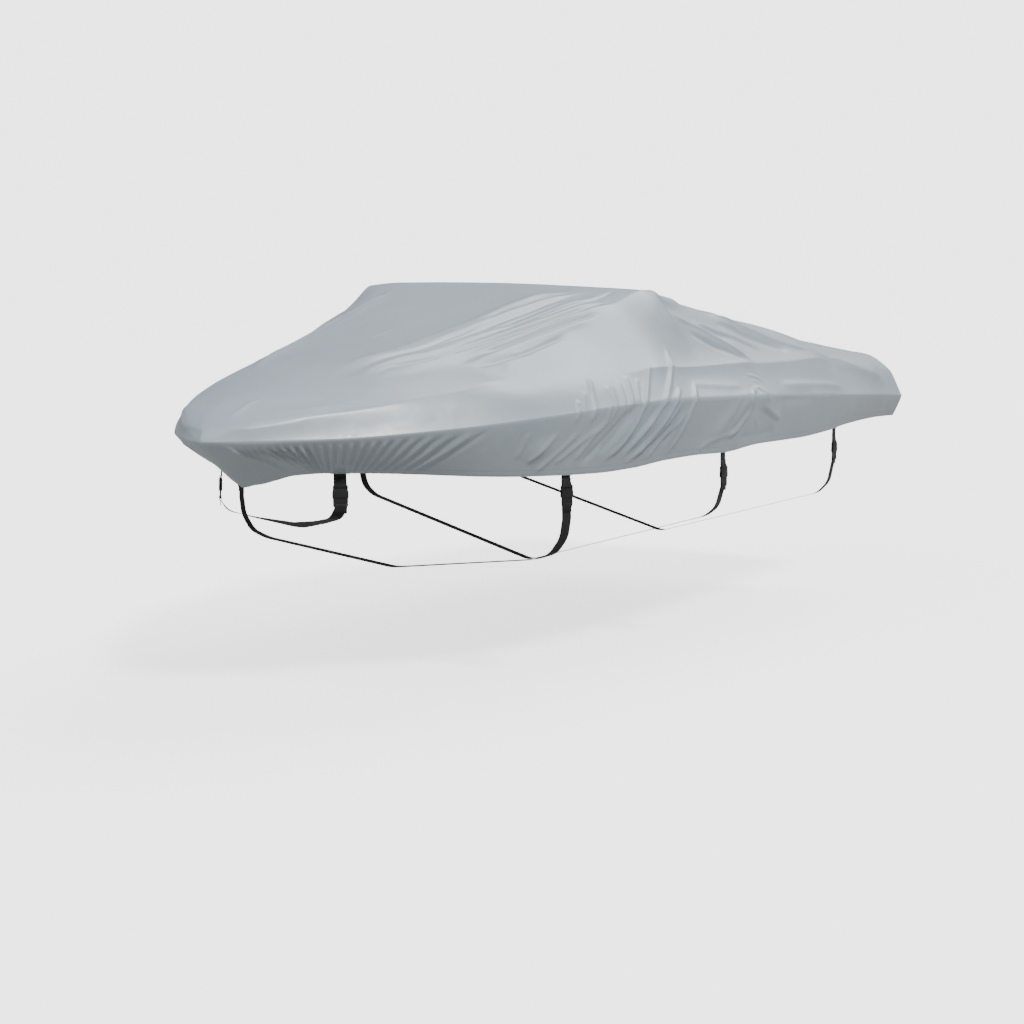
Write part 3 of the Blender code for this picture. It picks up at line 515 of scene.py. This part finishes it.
class Skin:
    """The cloth's vertices: each one's spot, side, place on the cloth and two sets of coordinates."""

    def __init__(self, facts=None):
        keys = ("spot", "side", "aft", "girth", "cloth", "hem")
        self.blocks = {key: [facts[key]] if facts else [] for key in keys}

    def add(self, points, **facts):
        """Adds vertices, one per point, and returns their numbers."""
        first = sum(len(block) for block in self.blocks["spot"])
        self.blocks["spot"].append(points)
        for key, value in facts.items():
            wide = (len(points), 2) if key in ("cloth", "hem") else (len(points),)
            self.blocks[key].append(np.broadcast_to(value, wide))
        return np.arange(first, first + len(points))

    def facts(self):
        """What the vertices hold, as one array for each kind."""
        return {key: np.concatenate(held) for key, held in self.blocks.items()}


def lay_top(skin, stations, shares):
    """The grid from rail to rail, and each station's girth from the rail to the centreline."""
    columns = np.arange(-ACROSS, ACROSS + 1)
    depth = ACROSS - np.abs(columns)                 # 0 at a rail, ACROSS on the centreline
    side_of = np.where(columns >= 0, PORT, STARBOARD)
    widest = np.zeros(len(stations))
    top = np.zeros((len(stations), len(columns)), int)
    for i, aft in enumerate(stations):
        out, up = section(aft, shares)
        girth = np.concatenate([[0.0], np.cumsum(np.hypot(np.diff(out), np.diff(up)))])
        widest[i] = girth[-1]
        y = side_of * out[depth]
        cloth = np.stack([np.full(len(y), aft), side_of * (girth[-1] - girth[depth])], axis=-1)
        points = place(aft, y, up[depth] + lean(aft, y, up[depth]))
        if i == 0:                                   # the stem is one point
            top[0] = skin.add(points[:1], side=PORT, aft=aft, girth=0.0, cloth=cloth[:1], hem=NO_HEM)
        else:
            top[i] = skin.add(points, side=side_of, aft=aft, girth=girth[depth], cloth=cloth, hem=NO_HEM)
    return top, widest


def lay_skirts(skin, stations, top, widest):
    """Each side's grid, from its rail down to the hem."""
    rails = place(*skirt_point(stations, 0.0))
    hem_back, hem_out, hem_up = skirt_point(stations, 1.0)
    hems = place(hem_back, hem_out, hem_up)
    skirts = {}
    for sign, rail_column in ((PORT, -1), (STARBOARD, 0)):
        grid = np.zeros((SKIRT_ROWS + 1, len(stations)), int)
        grid[0] = top[:, rail_column]
        for k in range(1, SKIRT_ROWS + 1):
            back, out, up = skirt_point(stations, k / SKIRT_ROWS)
            points = place(back, out, up)
            girth = -np.linalg.norm(points - rails, axis=1)
            above = np.linalg.norm(points - hems, axis=1)
            grid[k] = skin.add(points * (1, sign, 1), side=sign, aft=stations, girth=girth,
                               cloth=np.stack([back, sign * (widest - girth)], axis=-1),
                               hem=np.stack([hem_back, above], axis=-1))
        skirts[sign] = grid
    skirts[STARBOARD][:, 0] = skirts[PORT][:, 0]     # both sides share the stem
    return skirts


def lay_transom(skin, top, skirts):
    """The grid from the top's after edge down to the hem, between the two skirts."""
    transom = np.zeros((SKIRT_ROWS + 1, top.shape[1]), int)
    transom[0] = top[-1]
    edge = skin.facts()["spot"][top[-1]]
    corner = STATIONS[-1]
    bottom = HEM[-1].up - TOP_UP + CLOTH
    for k in range(1, SKIRT_ROWS + 1):
        share = k / SKIRT_ROWS
        y = edge[:, 1] * (1 - share * corner.hem_in / corner.half)
        z = edge[:, 2] + (bottom - edge[:, 2]) * share
        x = np.full(len(y), TOP_AFT - LENGTH - TRANSOM_BELLY * math.sin(math.pi * share))
        transom[k] = skin.add(np.stack([x, y, z], axis=-1), side=PORT, aft=BEYOND, girth=0.0,
                              cloth=np.stack([LENGTH + edge[:, 2] - z, y], axis=-1),
                              hem=np.stack([LENGTH + y, z - bottom], axis=-1))
        transom[k, -1], transom[k, 0] = skirts[PORT][k, -1], skirts[STARBOARD][k, -1]
    return transom


def turned_hem(facts, quads, ring):
    """The skin with its hem: a half turn under the ring's last row, then a flap stitched up inside."""
    skin = Skin(facts)
    normals = skin_normals(facts["spot"], quads)
    foot, above = facts["spot"][ring[-1]], facts["spot"][ring[-2]]
    down = (foot - above) / np.linalg.norm(foot - above, axis=1)[:, None]
    out = normals[ring[-1]]
    rows = [ring[-1]]

    def grow(points, like, height):
        """A row of the hem, with what the cloth's vertices `like` it hold."""
        rows.append(skin.add(points, hem=np.stack([facts["hem"][ring[-1], 0], height], axis=-1),
                             **{key: facts[key][like] for key in ("side", "aft", "girth", "cloth")}))

    for step in range(1, HEM_ROLL_STEPS + 1):
        angle = math.pi * step / HEM_ROLL_STEPS
        grow(foot + HEM_THICK / 2 * (out * (math.cos(angle) - 1) + down * math.sin(angle)), ring[-1],
             np.full(len(foot), -HEM_ROLL_STEP * step))
    for k in range(2, HEM_FLAP_ROWS + 2):
        thick = HEM_THICK if k <= HEM_FLAP_ROWS else HEM_STITCHED
        grow(facts["spot"][ring[-k]] - normals[ring[-k]] * thick, ring[-k], facts["hem"][ring[-k], 1])
    closed = np.stack([np.concatenate([row, row[:1]]) for row in rows])
    return skin.facts(), np.concatenate([quads, woven(closed.T)])


def build_cover():
    """The cloth as one skin, from the stem to the transom, cut into halves on the centreline."""
    skin, stations = Skin(), spread(ROWS)
    top, widest = lay_top(skin, stations, spread(COLUMNS))
    skirts = lay_skirts(skin, stations, top, widest)
    transom = lay_transom(skin, top, skirts)
    quads = np.concatenate([woven(top), woven(skirts[PORT].T), woven(skirts[STARBOARD].T)[:, ::-1],
                            woven(transom)])
    facts = skin.facts()
    lift = folded(facts["side"], facts["aft"], facts["girth"]) + rippled(facts["cloth"])
    lift = over_tabs(lift, facts["aft"], facts["girth"])
    facts["spot"] = facts["spot"] + skin_normals(facts["spot"], quads) * lift[:, None]
    ring = np.concatenate([skirts[PORT], transom[:, -2:0:-1], skirts[STARBOARD][:, :0:-1]], axis=1)
    facts, quads = turned_hem(facts, quads, ring)
    facts["normal"] = skin_normals(facts["spot"], quads)
    to_port = facts["spot"][quads, 1].sum(axis=1) > 0
    return [cloth_object("cover_port_half", facts, quads[to_port]),
            cloth_object("cover_starboard_half", facts, quads[~to_port])]


def linked(name, data):
    """A new object in the scene."""
    made = bpy.data.objects.new(name, data)
    bpy.context.scene.collection.objects.link(made)
    return made


def aimed(name, data, axis, direction):
    """A new object with one of its axes along a direction."""
    made = linked(name, data)
    made.rotation_mode = "QUATERNION"
    made.rotation_quaternion = direction.to_track_quat(axis, "Y")
    return made


def woven(grid):
    """The quads between neighbours in a grid of vertex numbers."""
    a, b, c, d = grid[:-1, :-1], grid[1:, :-1], grid[1:, 1:], grid[:-1, 1:]
    return np.stack([a.ravel(), d.ravel(), c.ravel(), b.ravel()], axis=-1)


def skin_normals(spots, quads):
    """Each vertex's normal, from the faces round it."""
    corners = spots[quads]
    facing = np.cross(corners[:, 2] - corners[:, 0], corners[:, 3] - corners[:, 1])
    normals = np.zeros_like(spots)
    for k in range(4):
        np.add.at(normals, quads[:, k], facing)
    length = np.linalg.norm(normals, axis=1)
    return normals / np.where(length > 0, length, 1.0)[:, None]


def cloth_object(name, facts, quads):
    """A smooth mesh with its two sets of cloth coordinates, without the vertices that no face uses."""
    faces = [list(dict.fromkeys(quad)) for quad in quads.tolist()]
    faces = [face for face in faces if len(face) > 2]
    used = sorted({v for face in faces for v in face})
    number = {v: i for i, v in enumerate(used)}
    mesh = bpy.data.meshes.new(name)
    mesh.from_pydata(facts["spot"][used].tolist(), [], [[number[v] for v in face] for face in faces])
    loops = np.array([used[loop.vertex_index] for loop in mesh.loops])
    for layer in ("cloth", "hem"):
        mesh.uv_layers.new(name=layer).data.foreach_set("uv", facts[layer][loops].ravel())
    mesh.shade_smooth()
    mesh.normals_split_custom_set_from_vertices(facts["normal"][used].tolist())   # so no seam shows
    return linked(name, mesh)


# ---- Webbing and buckles, along the routes of the part's source ----

def spot_at(point, side):
    """A point of the tables, as (aft, out, up), on one side of the part's frame."""
    x, y, z = place(*point)
    return Vector((x, side * y, z))


def rounded(points, reach, steps):
    """A path whose inner corners are replaced by short curves that start `reach` from each corner."""
    path = [points[0]]
    for before, corner, after in zip(points, points[1:], points[2:]):
        start, end = (
            corner + (near - corner).normalized() * min(reach, (near - corner).length * BEND_SHARE)
            for near in (before, after))
        for k in range(steps + 1):
            t = k / steps
            path.append(start * (1 - t) ** 2 + corner * 2 * t * (1 - t) + end * t * t)
    path.append(points[-1])
    return path


def webbing_section():
    """Webbing's cross section as (across, deep): flat faces and rounded woven edges."""
    half, deep = WEBBING / 2, WEBBING_THICK / 2
    edge = [(half - deep + deep * math.cos(a), deep * math.sin(a))
            for a in np.linspace(-math.pi / 2, math.pi / 2, EDGE_STEPS + 1)]
    inner = np.linspace(half - deep, -half + deep, FACE_STEPS + 1)[1:-1]
    return (edge + [(x, deep) for x in inner]
            + [(-x, -z) for x, z in edge] + [(-x, -deep) for x in inner])


def ribbon(name, path, across, surface):
    """Webbing along a path; across gives its width direction at each point of the path."""
    outline = webbing_section()
    around = np.cumsum([0.0] + [math.dist(a, b) for a, b in zip(outline, outline[1:] + outline[:1])])
    rings, travelled, run = [], [], 0.0
    for i, (centre, wide) in enumerate(zip(path, across)):
        arriving = (centre - path[i - 1]).normalized() if i else None
        leaving = (path[i + 1] - centre).normalized() if i + 1 < len(path) else None
        tangent = ((arriving or leaving) + (leaving or arriving)).normalized()
        mitre = 1 / max(tangent.dot(leaving or arriving), 1 / MOST_MITRE)
        wide = (wide - tangent * wide.dot(tangent)).normalized()
        deep = wide.cross(tangent).normalized() * mitre
        run += (centre - path[i - 1]).length if i else 0.0
        travelled.append(run)
        rings.append([centre + wide * x + deep * z for x, z in outline])
    count = len(outline)
    faces, uvs = [], []
    for i in range(len(rings) - 1):
        for k in range(count):
            a, b = i * count, (i + 1) * count
            after = (k + 1) % count
            faces.append((a + k, a + after, b + after, b + k))
            uvs += [(around[k], travelled[i]), (around[k + 1], travelled[i]),
                    (around[k + 1], travelled[i + 1]), (around[k], travelled[i + 1])]
    last = (len(rings) - 1) * count
    faces += [tuple(range(count))[::-1], tuple(range(last, last + count))]
    uvs += [(0.0, 0.0)] * (2 * count)
    mesh = bpy.data.meshes.new(name)
    mesh.from_pydata([p for ring in rings for p in ring], [], faces)
    mesh.uv_layers.new(name="weave").data.foreach_set("uv", [c for uv in uvs for c in uv])
    mesh.shade_smooth()
    mesh.materials.append(surface)
    return linked(name, mesh)


class Fitting:
    """One side of a strap: the hem point it hangs from, its buckle's frame and its webbing's turns."""

    def __init__(self, strap, side, cloth_tree):
        self.side = side
        self.route = [spot_at(point, side) for point in strap.route]
        self.hem = spot_at(skirt_point(strap.station, 1.0), side)
        slope = (along(STATIONS, "half", strap.station + SLOPE_STEP)
                 - along(STATIONS, "half", strap.station - SLOPE_STEP)) / (2 * SLOPE_STEP)
        self.across = Vector((1.0, -side * slope, 0.0)).normalized()
        rake = math.radians(strap.keel_rake)
        self.keel_across = Vector((math.cos(rake), 0.0, math.sin(rake)))
        self.up_skirt = (spot_at(skirt_point(strap.station, LOW_SKIRT), side) - self.hem).normalized()
        self.outward = self.facing_out(self.up_skirt)
        self.seats = [self.seat(cloth_tree, TAB_SEWN * share) for share in SEAT_SHARES]
        self.seats.append(self.seat(cloth_tree, HEM_PROBES[-1], HEM_PROBES))
        self.set_buckle(strap.drop)

    def facing_out(self, direction):
        """The outward normal of the plane through the direction and the strap's width."""
        normal = direction.cross(self.across).normalized()
        return -normal if normal.y * self.side < 0 else normal

    def seat(self, cloth_tree, rise, probes=None):
        """The webbing's centre at a rise above the hem, just inside the cloth met at the probed rises."""
        reaches = []
        for probe in probes or (rise,):
            for share in SEAT_ACROSS:
                start = self.hem + self.up_skirt * probe + self.across * share * WEBBING / 2
                hit = cloth_tree.ray_cast(start - self.outward * PROBE_DEPTH, self.outward)
                if hit[0]:
                    reaches.append(hit[3])
        inset = min(reaches) - PROBE_DEPTH - GAP - WEBBING_THICK / 2
        return self.hem + self.up_skirt * rise + self.outward * inset

    def set_buckle(self, drop):
        """The buckle hangs from the tab in line with the webbing that leads on to the hull."""
        self.along = (self.seats[-1] - self.route[0]).normalized()
        self.face = self.facing_out(self.along)
        self.centre = self.seats[-1] - self.along * drop + self.face * TURN
        x_axis = self.along.cross(self.face).normalized()
        axes = Matrix((x_axis, self.along, self.face)).transposed()
        self.matrix = Matrix.Translation(self.centre) @ axes.to_4x4()

    def turn_round_bar(self, end):
        """The webbing's path round a bar, from its free tail to the standing part behind the bar."""
        beside = -TURN + WEBBING_THICK + GAP
        path = [(end * (BAR_AT + LAP), beside), (end * (BAR_AT + LAP / 2), beside),
                (end * (BAR_AT + 2 * BAR_HALF), TURN)]
        for k in range(TURN_STEPS + 1):
            angle = math.pi * k / TURN_STEPS
            path.append((end * (BAR_AT - (TURN + LOOSE) * math.sin(angle)), TURN * math.cos(angle)))
        return [self.centre + self.along * y + self.face * z for y, z in path]

    def width_at(self, spot):
        """The webbing's width direction: along the side by the buckle, along the keel below it."""
        share = min(abs(spot.y) / abs(self.route[0].y), 1.0)
        return (self.across * share + self.keel_across * (1 - share)).normalized()

    def tab_path(self):
        """From the tail at the buckle up behind the hem."""
        return self.turn_round_bar(1) + self.seats[::-1]

    def half_strap_path(self):
        """From the tail at the buckle down to the keel."""
        return self.turn_round_bar(-1) + rounded(self.route, KEEL_ROUND, BEND_STEPS)[:-1]


def solid_tree(node):
    """The faces of one of the frame's solids, for rays to be cast at."""
    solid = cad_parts[node]
    corners = [solid.matrix_world @ v.co for v in solid.data.vertices]
    return BVHTree.FromPolygons(corners, [p.vertices[:] for p in solid.data.polygons])


def moulded(node, surface):
    """A buckle half with the moulding's rounded edges, from the solid that it replaces."""
    shape = bmesh.new()
    shape.from_mesh(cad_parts[node].data)
    bmesh.ops.remove_doubles(shape, verts=shape.verts, dist=SAME_SPOT)
    bmesh.ops.dissolve_limit(shape, angle_limit=math.radians(SAME_PLANE), verts=shape.verts,
                             edges=shape.edges)
    mesh = bpy.data.meshes.new(f"{node}_moulded")
    shape.to_mesh(mesh)
    shape.free()
    mesh.materials.clear()
    mesh.materials.append(surface)
    mesh.shade_smooth()
    made = linked(f"{node}_moulded", mesh)
    bevel = made.modifiers.new("edges", "BEVEL")
    bevel.width, bevel.segments, bevel.limit_method = BUCKLE_BEVEL, BEVEL_STEPS, "ANGLE"
    bevel.harden_normals = True
    dressed(made, node)


def dressed(piece, node):
    """The piece rides the part's one body in place of the node."""
    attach(piece, "root")
    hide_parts(node)


def build_strap(strap, cloth_tree, webbing, plastic):
    """A strap set: on each side a tab and a buckle's two halves, and one strap under the hull."""
    port, starboard = (Fitting(strap, side, cloth_tree) for side in SIDES.values())
    for word, half in zip(SIDES, (port, starboard)):
        stem = f"{strap.name}_{word}"
        path = half.tab_path()
        tab = ribbon(f"{stem}_tab_webbing", path, [half.across] * len(path), webbing)
        dressed(tab, f"{stem}_tab")
        for part in ("socket", "plug"):
            moulded(f"{stem}_{part}", plastic)
    port_path, starboard_path = port.half_strap_path(), starboard.half_strap_path()
    bend = rounded([port_path[-1], port.route[-1], starboard_path[-1]], KEEL_ROUND, BEND_STEPS)
    path = port_path + bend[1:-1] + starboard_path[::-1]
    across = ([port.width_at(p) for p in port_path] + [port.keel_across] * (len(bend) - 2)
              + [starboard.width_at(p) for p in reversed(starboard_path)])
    whole = ribbon(f"{strap.name}_strap_webbing", path, across, webbing)
    dressed(whole, f"{strap.name}_strap")


# ---- Materials ----

class Nodes:
    """A short way to write a material's nodes."""

    def __init__(self, name):
        self.material = bpy.data.materials.new(name)
        self.material.use_nodes = True
        self.tree = self.material.node_tree
        self.shader = self.tree.nodes["Principled BSDF"]

    def add(self, kind, inputs=None, **settings):
        node = self.tree.nodes.new(kind)
        for key, value in settings.items():
            setattr(node, key, value)
        for key, value in (inputs or {}).items():
            self.feed(node.inputs[key], value)
        return node

    def feed(self, socket, value):
        """Links another node's output to the socket, or sets it to a constant."""
        if isinstance(value, bpy.types.NodeSocket):
            self.tree.links.new(value, socket)
        else:
            socket.default_value = value

    def math(self, operation, a, b=0.0, c=0.0):
        return self.add("ShaderNodeMath", {0: a, 1: b, 2: c}, operation=operation).outputs[0]

    def ranged(self, value, low, high, to_low, to_high):
        inputs = {"Value": value, "From Min": low, "From Max": high, "To Min": to_low, "To Max": to_high}
        return self.add("ShaderNodeMapRange", inputs).outputs["Result"]

    def blend(self, share, first, second):
        made = self.add("ShaderNodeMix", data_type="RGBA")
        self.feed(made.inputs["Factor"], share)
        colours = [socket for socket in made.inputs if socket.type == "RGBA"]
        for socket, colour in zip(colours, (first, second)):
            self.feed(socket, (*colour, 1.0) if isinstance(colour, tuple) else colour)
        return next(s for s in made.outputs if s.type == "RGBA")

    def noise(self, scale, detail, roughness):
        inputs = {"Scale": scale, "Detail": detail, "Roughness": roughness,
                  "Vector": self.add("ShaderNodeTexCoord").outputs["Object"]}
        return self.add("ShaderNodeTexNoise", inputs).outputs["Fac"]

    def uv(self, layer):
        both = self.add("ShaderNodeUVMap", uv_map=layer).outputs[0]
        return self.add("ShaderNodeSeparateXYZ", {0: both}).outputs[:2]

    def bump(self, height, distance, after=None):
        inputs = {"Height": height, "Distance": distance, "Strength": 1.0}
        if after is not None:
            inputs["Normal"] = after
        return self.add("ShaderNodeBump", inputs).outputs[0]

    def surface(self, **values):
        for key, value in values.items():
            self.feed(self.shader.inputs[key.replace("_", " ")], value)
        return self.material


def woven_height(n, spots, pitches):
    """A plain weave's height, 0 to 1: threads over and under each other."""
    warp, weft = (n.math("SINE", n.math("MULTIPLY", spot, math.pi / pitch))
                  for spot, pitch in zip(spots, pitches))
    return n.math("MULTIPLY_ADD", n.math("MULTIPLY", warp, weft), 0.5, 0.5)


def cloth_material():
    """Grey coated cloth, blotched and dusty, with its weave and two rows of stitches along the hem."""
    n = Nodes("coated_polyester")
    hem_along, hem_up = n.uv("hem")
    blotch, fine = n.noise(*BLOTCH), n.noise(*SPECKLE)
    tone = n.blend(n.ranged(blotch, 0.30, 0.70, 0.0, 1.0), CLOTH_DARK, CLOTH_LIGHT)
    tone = n.blend(n.ranged(fine, 0.35, 0.75, 0.0, 0.12), tone, CLOTH_DUST)
    wave = n.math("SINE", n.math("MULTIPLY", hem_along, 2 * math.pi / STITCH))
    dash = n.math("GREATER_THAN", wave, STITCH_GAP)
    near = n.math("MINIMUM", *(n.math("ABSOLUTE", n.math("SUBTRACT", hem_up, rise))
                               for rise in STITCH_ROWS))
    thread = n.math("MULTIPLY", n.math("LESS_THAN", near, STITCH_WIDE / 2), dash)
    tone = n.blend(n.math("MULTIPLY", thread, THREAD_SHOWS), tone, THREAD)
    groove = n.ranged(near, 0.0, PUCKER, 0.0, 1.0)
    weave = woven_height(n, n.uv("cloth"), CLOTH_THREADS)
    normal = None
    for height, depth in zip((n.noise(*SOFT), n.noise(*CRUMPLE), groove, thread, weave), CLOTH_RELIEF):
        normal = n.bump(height, depth, after=normal)
    return n.surface(Base_Color=tone, Roughness=n.ranged(fine, 0.3, 0.7, 0.36, 0.44), Normal=normal,
                     IOR=1.6, Sheen_Weight=0.10, Sheen_Roughness=0.45, Specular_IOR_Level=1.0)


def webbing_material():
    """Black woven webbing, worn and dusty in places."""
    n = Nodes("woven_webbing")
    weave = woven_height(n, n.uv("weave"), WEBBING_THREADS)
    worn = n.noise(*WEBBING_WORN)
    tone = n.blend(n.ranged(weave, 0.1, 0.9, 0.0, 1.0), WEBBING_DARK, WEBBING_LIGHT)
    tone = n.blend(n.ranged(worn, 0.45, 0.8, 0.0, 0.35), tone, WEBBING_DUST)
    return n.surface(Base_Color=tone, Roughness=0.70, Normal=n.bump(weave, WEBBING_RELIEF),
                     Sheen_Weight=0.08, Sheen_Roughness=0.4, Specular_IOR_Level=0.3)


def plastic_material():
    """Black moulded plastic with a fine grain."""
    n = Nodes("moulded_acetal")
    worn = n.noise(*PLASTIC_WORN)
    tone = n.blend(n.ranged(worn, 0.4, 0.8, 0.0, 0.4), PLASTIC_DARK, PLASTIC_LIGHT)
    return n.surface(Base_Color=tone, Roughness=n.ranged(worn, 0.3, 0.7, 0.34, 0.46),
                     Normal=n.bump(n.noise(*GRAIN), PLASTIC_RELIEF), Specular_IOR_Level=0.5)


def stage_material(name, colour, strength):
    """A dull surface that glows as the backdrop does."""
    return Nodes(name).surface(
        Base_Color=(*colour, 1.0), Roughness=1.0, Specular_IOR_Level=0.0,
        Emission_Color=(*BACKDROP_GLOW, 1.0), Emission_Strength=strength)


# ---- The studio ----

def staged(name, spots, faces, colour, strength):
    """A floor or backdrop that the camera sees, and that throws no light back on the cover."""
    mesh = bpy.data.meshes.new(name)
    mesh.from_pydata(spots, [], faces)
    mesh.materials.append(stage_material(name, colour, strength))
    stage = linked(name, mesh)
    stage.location.z = CLOTH - TOP_UP
    stage.visible_diffuse = stage.visible_glossy = stage.visible_shadow = False


def studio_stage():
    """A round floor with a wall about it."""
    turns = [2 * math.pi * k / STAGE_SIDES for k in range(STAGE_SIDES)]
    rim = [(STAGE_REACH * math.cos(turn), STAGE_REACH * math.sin(turn)) for turn in turns]
    staged("studio_floor", [(x, y, 0.0) for x, y in rim], [tuple(range(STAGE_SIDES))],
           FLOOR_COLOUR, FLOOR_STRENGTH)
    pairs = [(k, (k + 1) % STAGE_SIDES) for k in range(STAGE_SIDES)]
    staged("studio_backdrop", [(x, y, z) for z in (0.0, STAGE_REACH) for x, y in rim],
           [(k, after, STAGE_SIDES + after, STAGE_SIDES + k) for k, after in pairs],
           BACKDROP_COLOUR, BACKDROP_STRENGTH)


def studio():
    """Soft light from all round, three lamps, the stage and the photograph's camera."""
    world = bpy.data.worlds.new("studio")
    bpy.context.scene.world = world
    world.use_nodes = True
    tree = world.node_tree
    split = tree.nodes.new("ShaderNodeSeparateXYZ")
    tree.links.new(tree.nodes.new("ShaderNodeTexCoord").outputs["Generated"], split.inputs[0])
    ramp = tree.nodes.new("ShaderNodeValToRGB")
    stops = ((0.0, GROUND_LIGHT), (HORIZON_SOFT, SKY_LIGHT))
    for stop, (position, light) in zip(ramp.color_ramp.elements, stops):
        stop.position, stop.color = position, (*light, 1.0)
    tree.links.new(split.outputs[2], ramp.inputs[0])
    tree.links.new(ramp.outputs[0], tree.nodes["Background"].inputs["Color"])
    for name, towards, strength, angle in LAMPS:
        lamp = bpy.data.lights.new(name, "SUN")
        lamp.energy, lamp.angle = strength, math.radians(angle)
        aimed(name, lamp, "Z", Vector(towards))
    studio_stage()
    data = bpy.data.cameras.new("camera")
    data.sensor_width, data.lens = SENSOR, LENS
    bearing, drop = math.radians(CAMERA_BEARING), math.radians(CAMERA_DROP)
    forward = Vector((-math.cos(bearing) * math.cos(drop), -math.sin(bearing) * math.cos(drop),
                      -math.sin(drop)))
    camera = aimed("camera", data, "-Z", forward)
    camera.location = CAMERA_AT
    bpy.context.scene.camera = camera


studio()
cloth = cloth_material()
for half in build_cover():
    half.data.materials.append(cloth)
    dressed(half, "cover")
cad_cover = solid_tree("cover")
webbing, plastic = webbing_material(), plastic_material()
for strap in STRAPS:
    build_strap(strap, cad_cover, webbing, plastic)
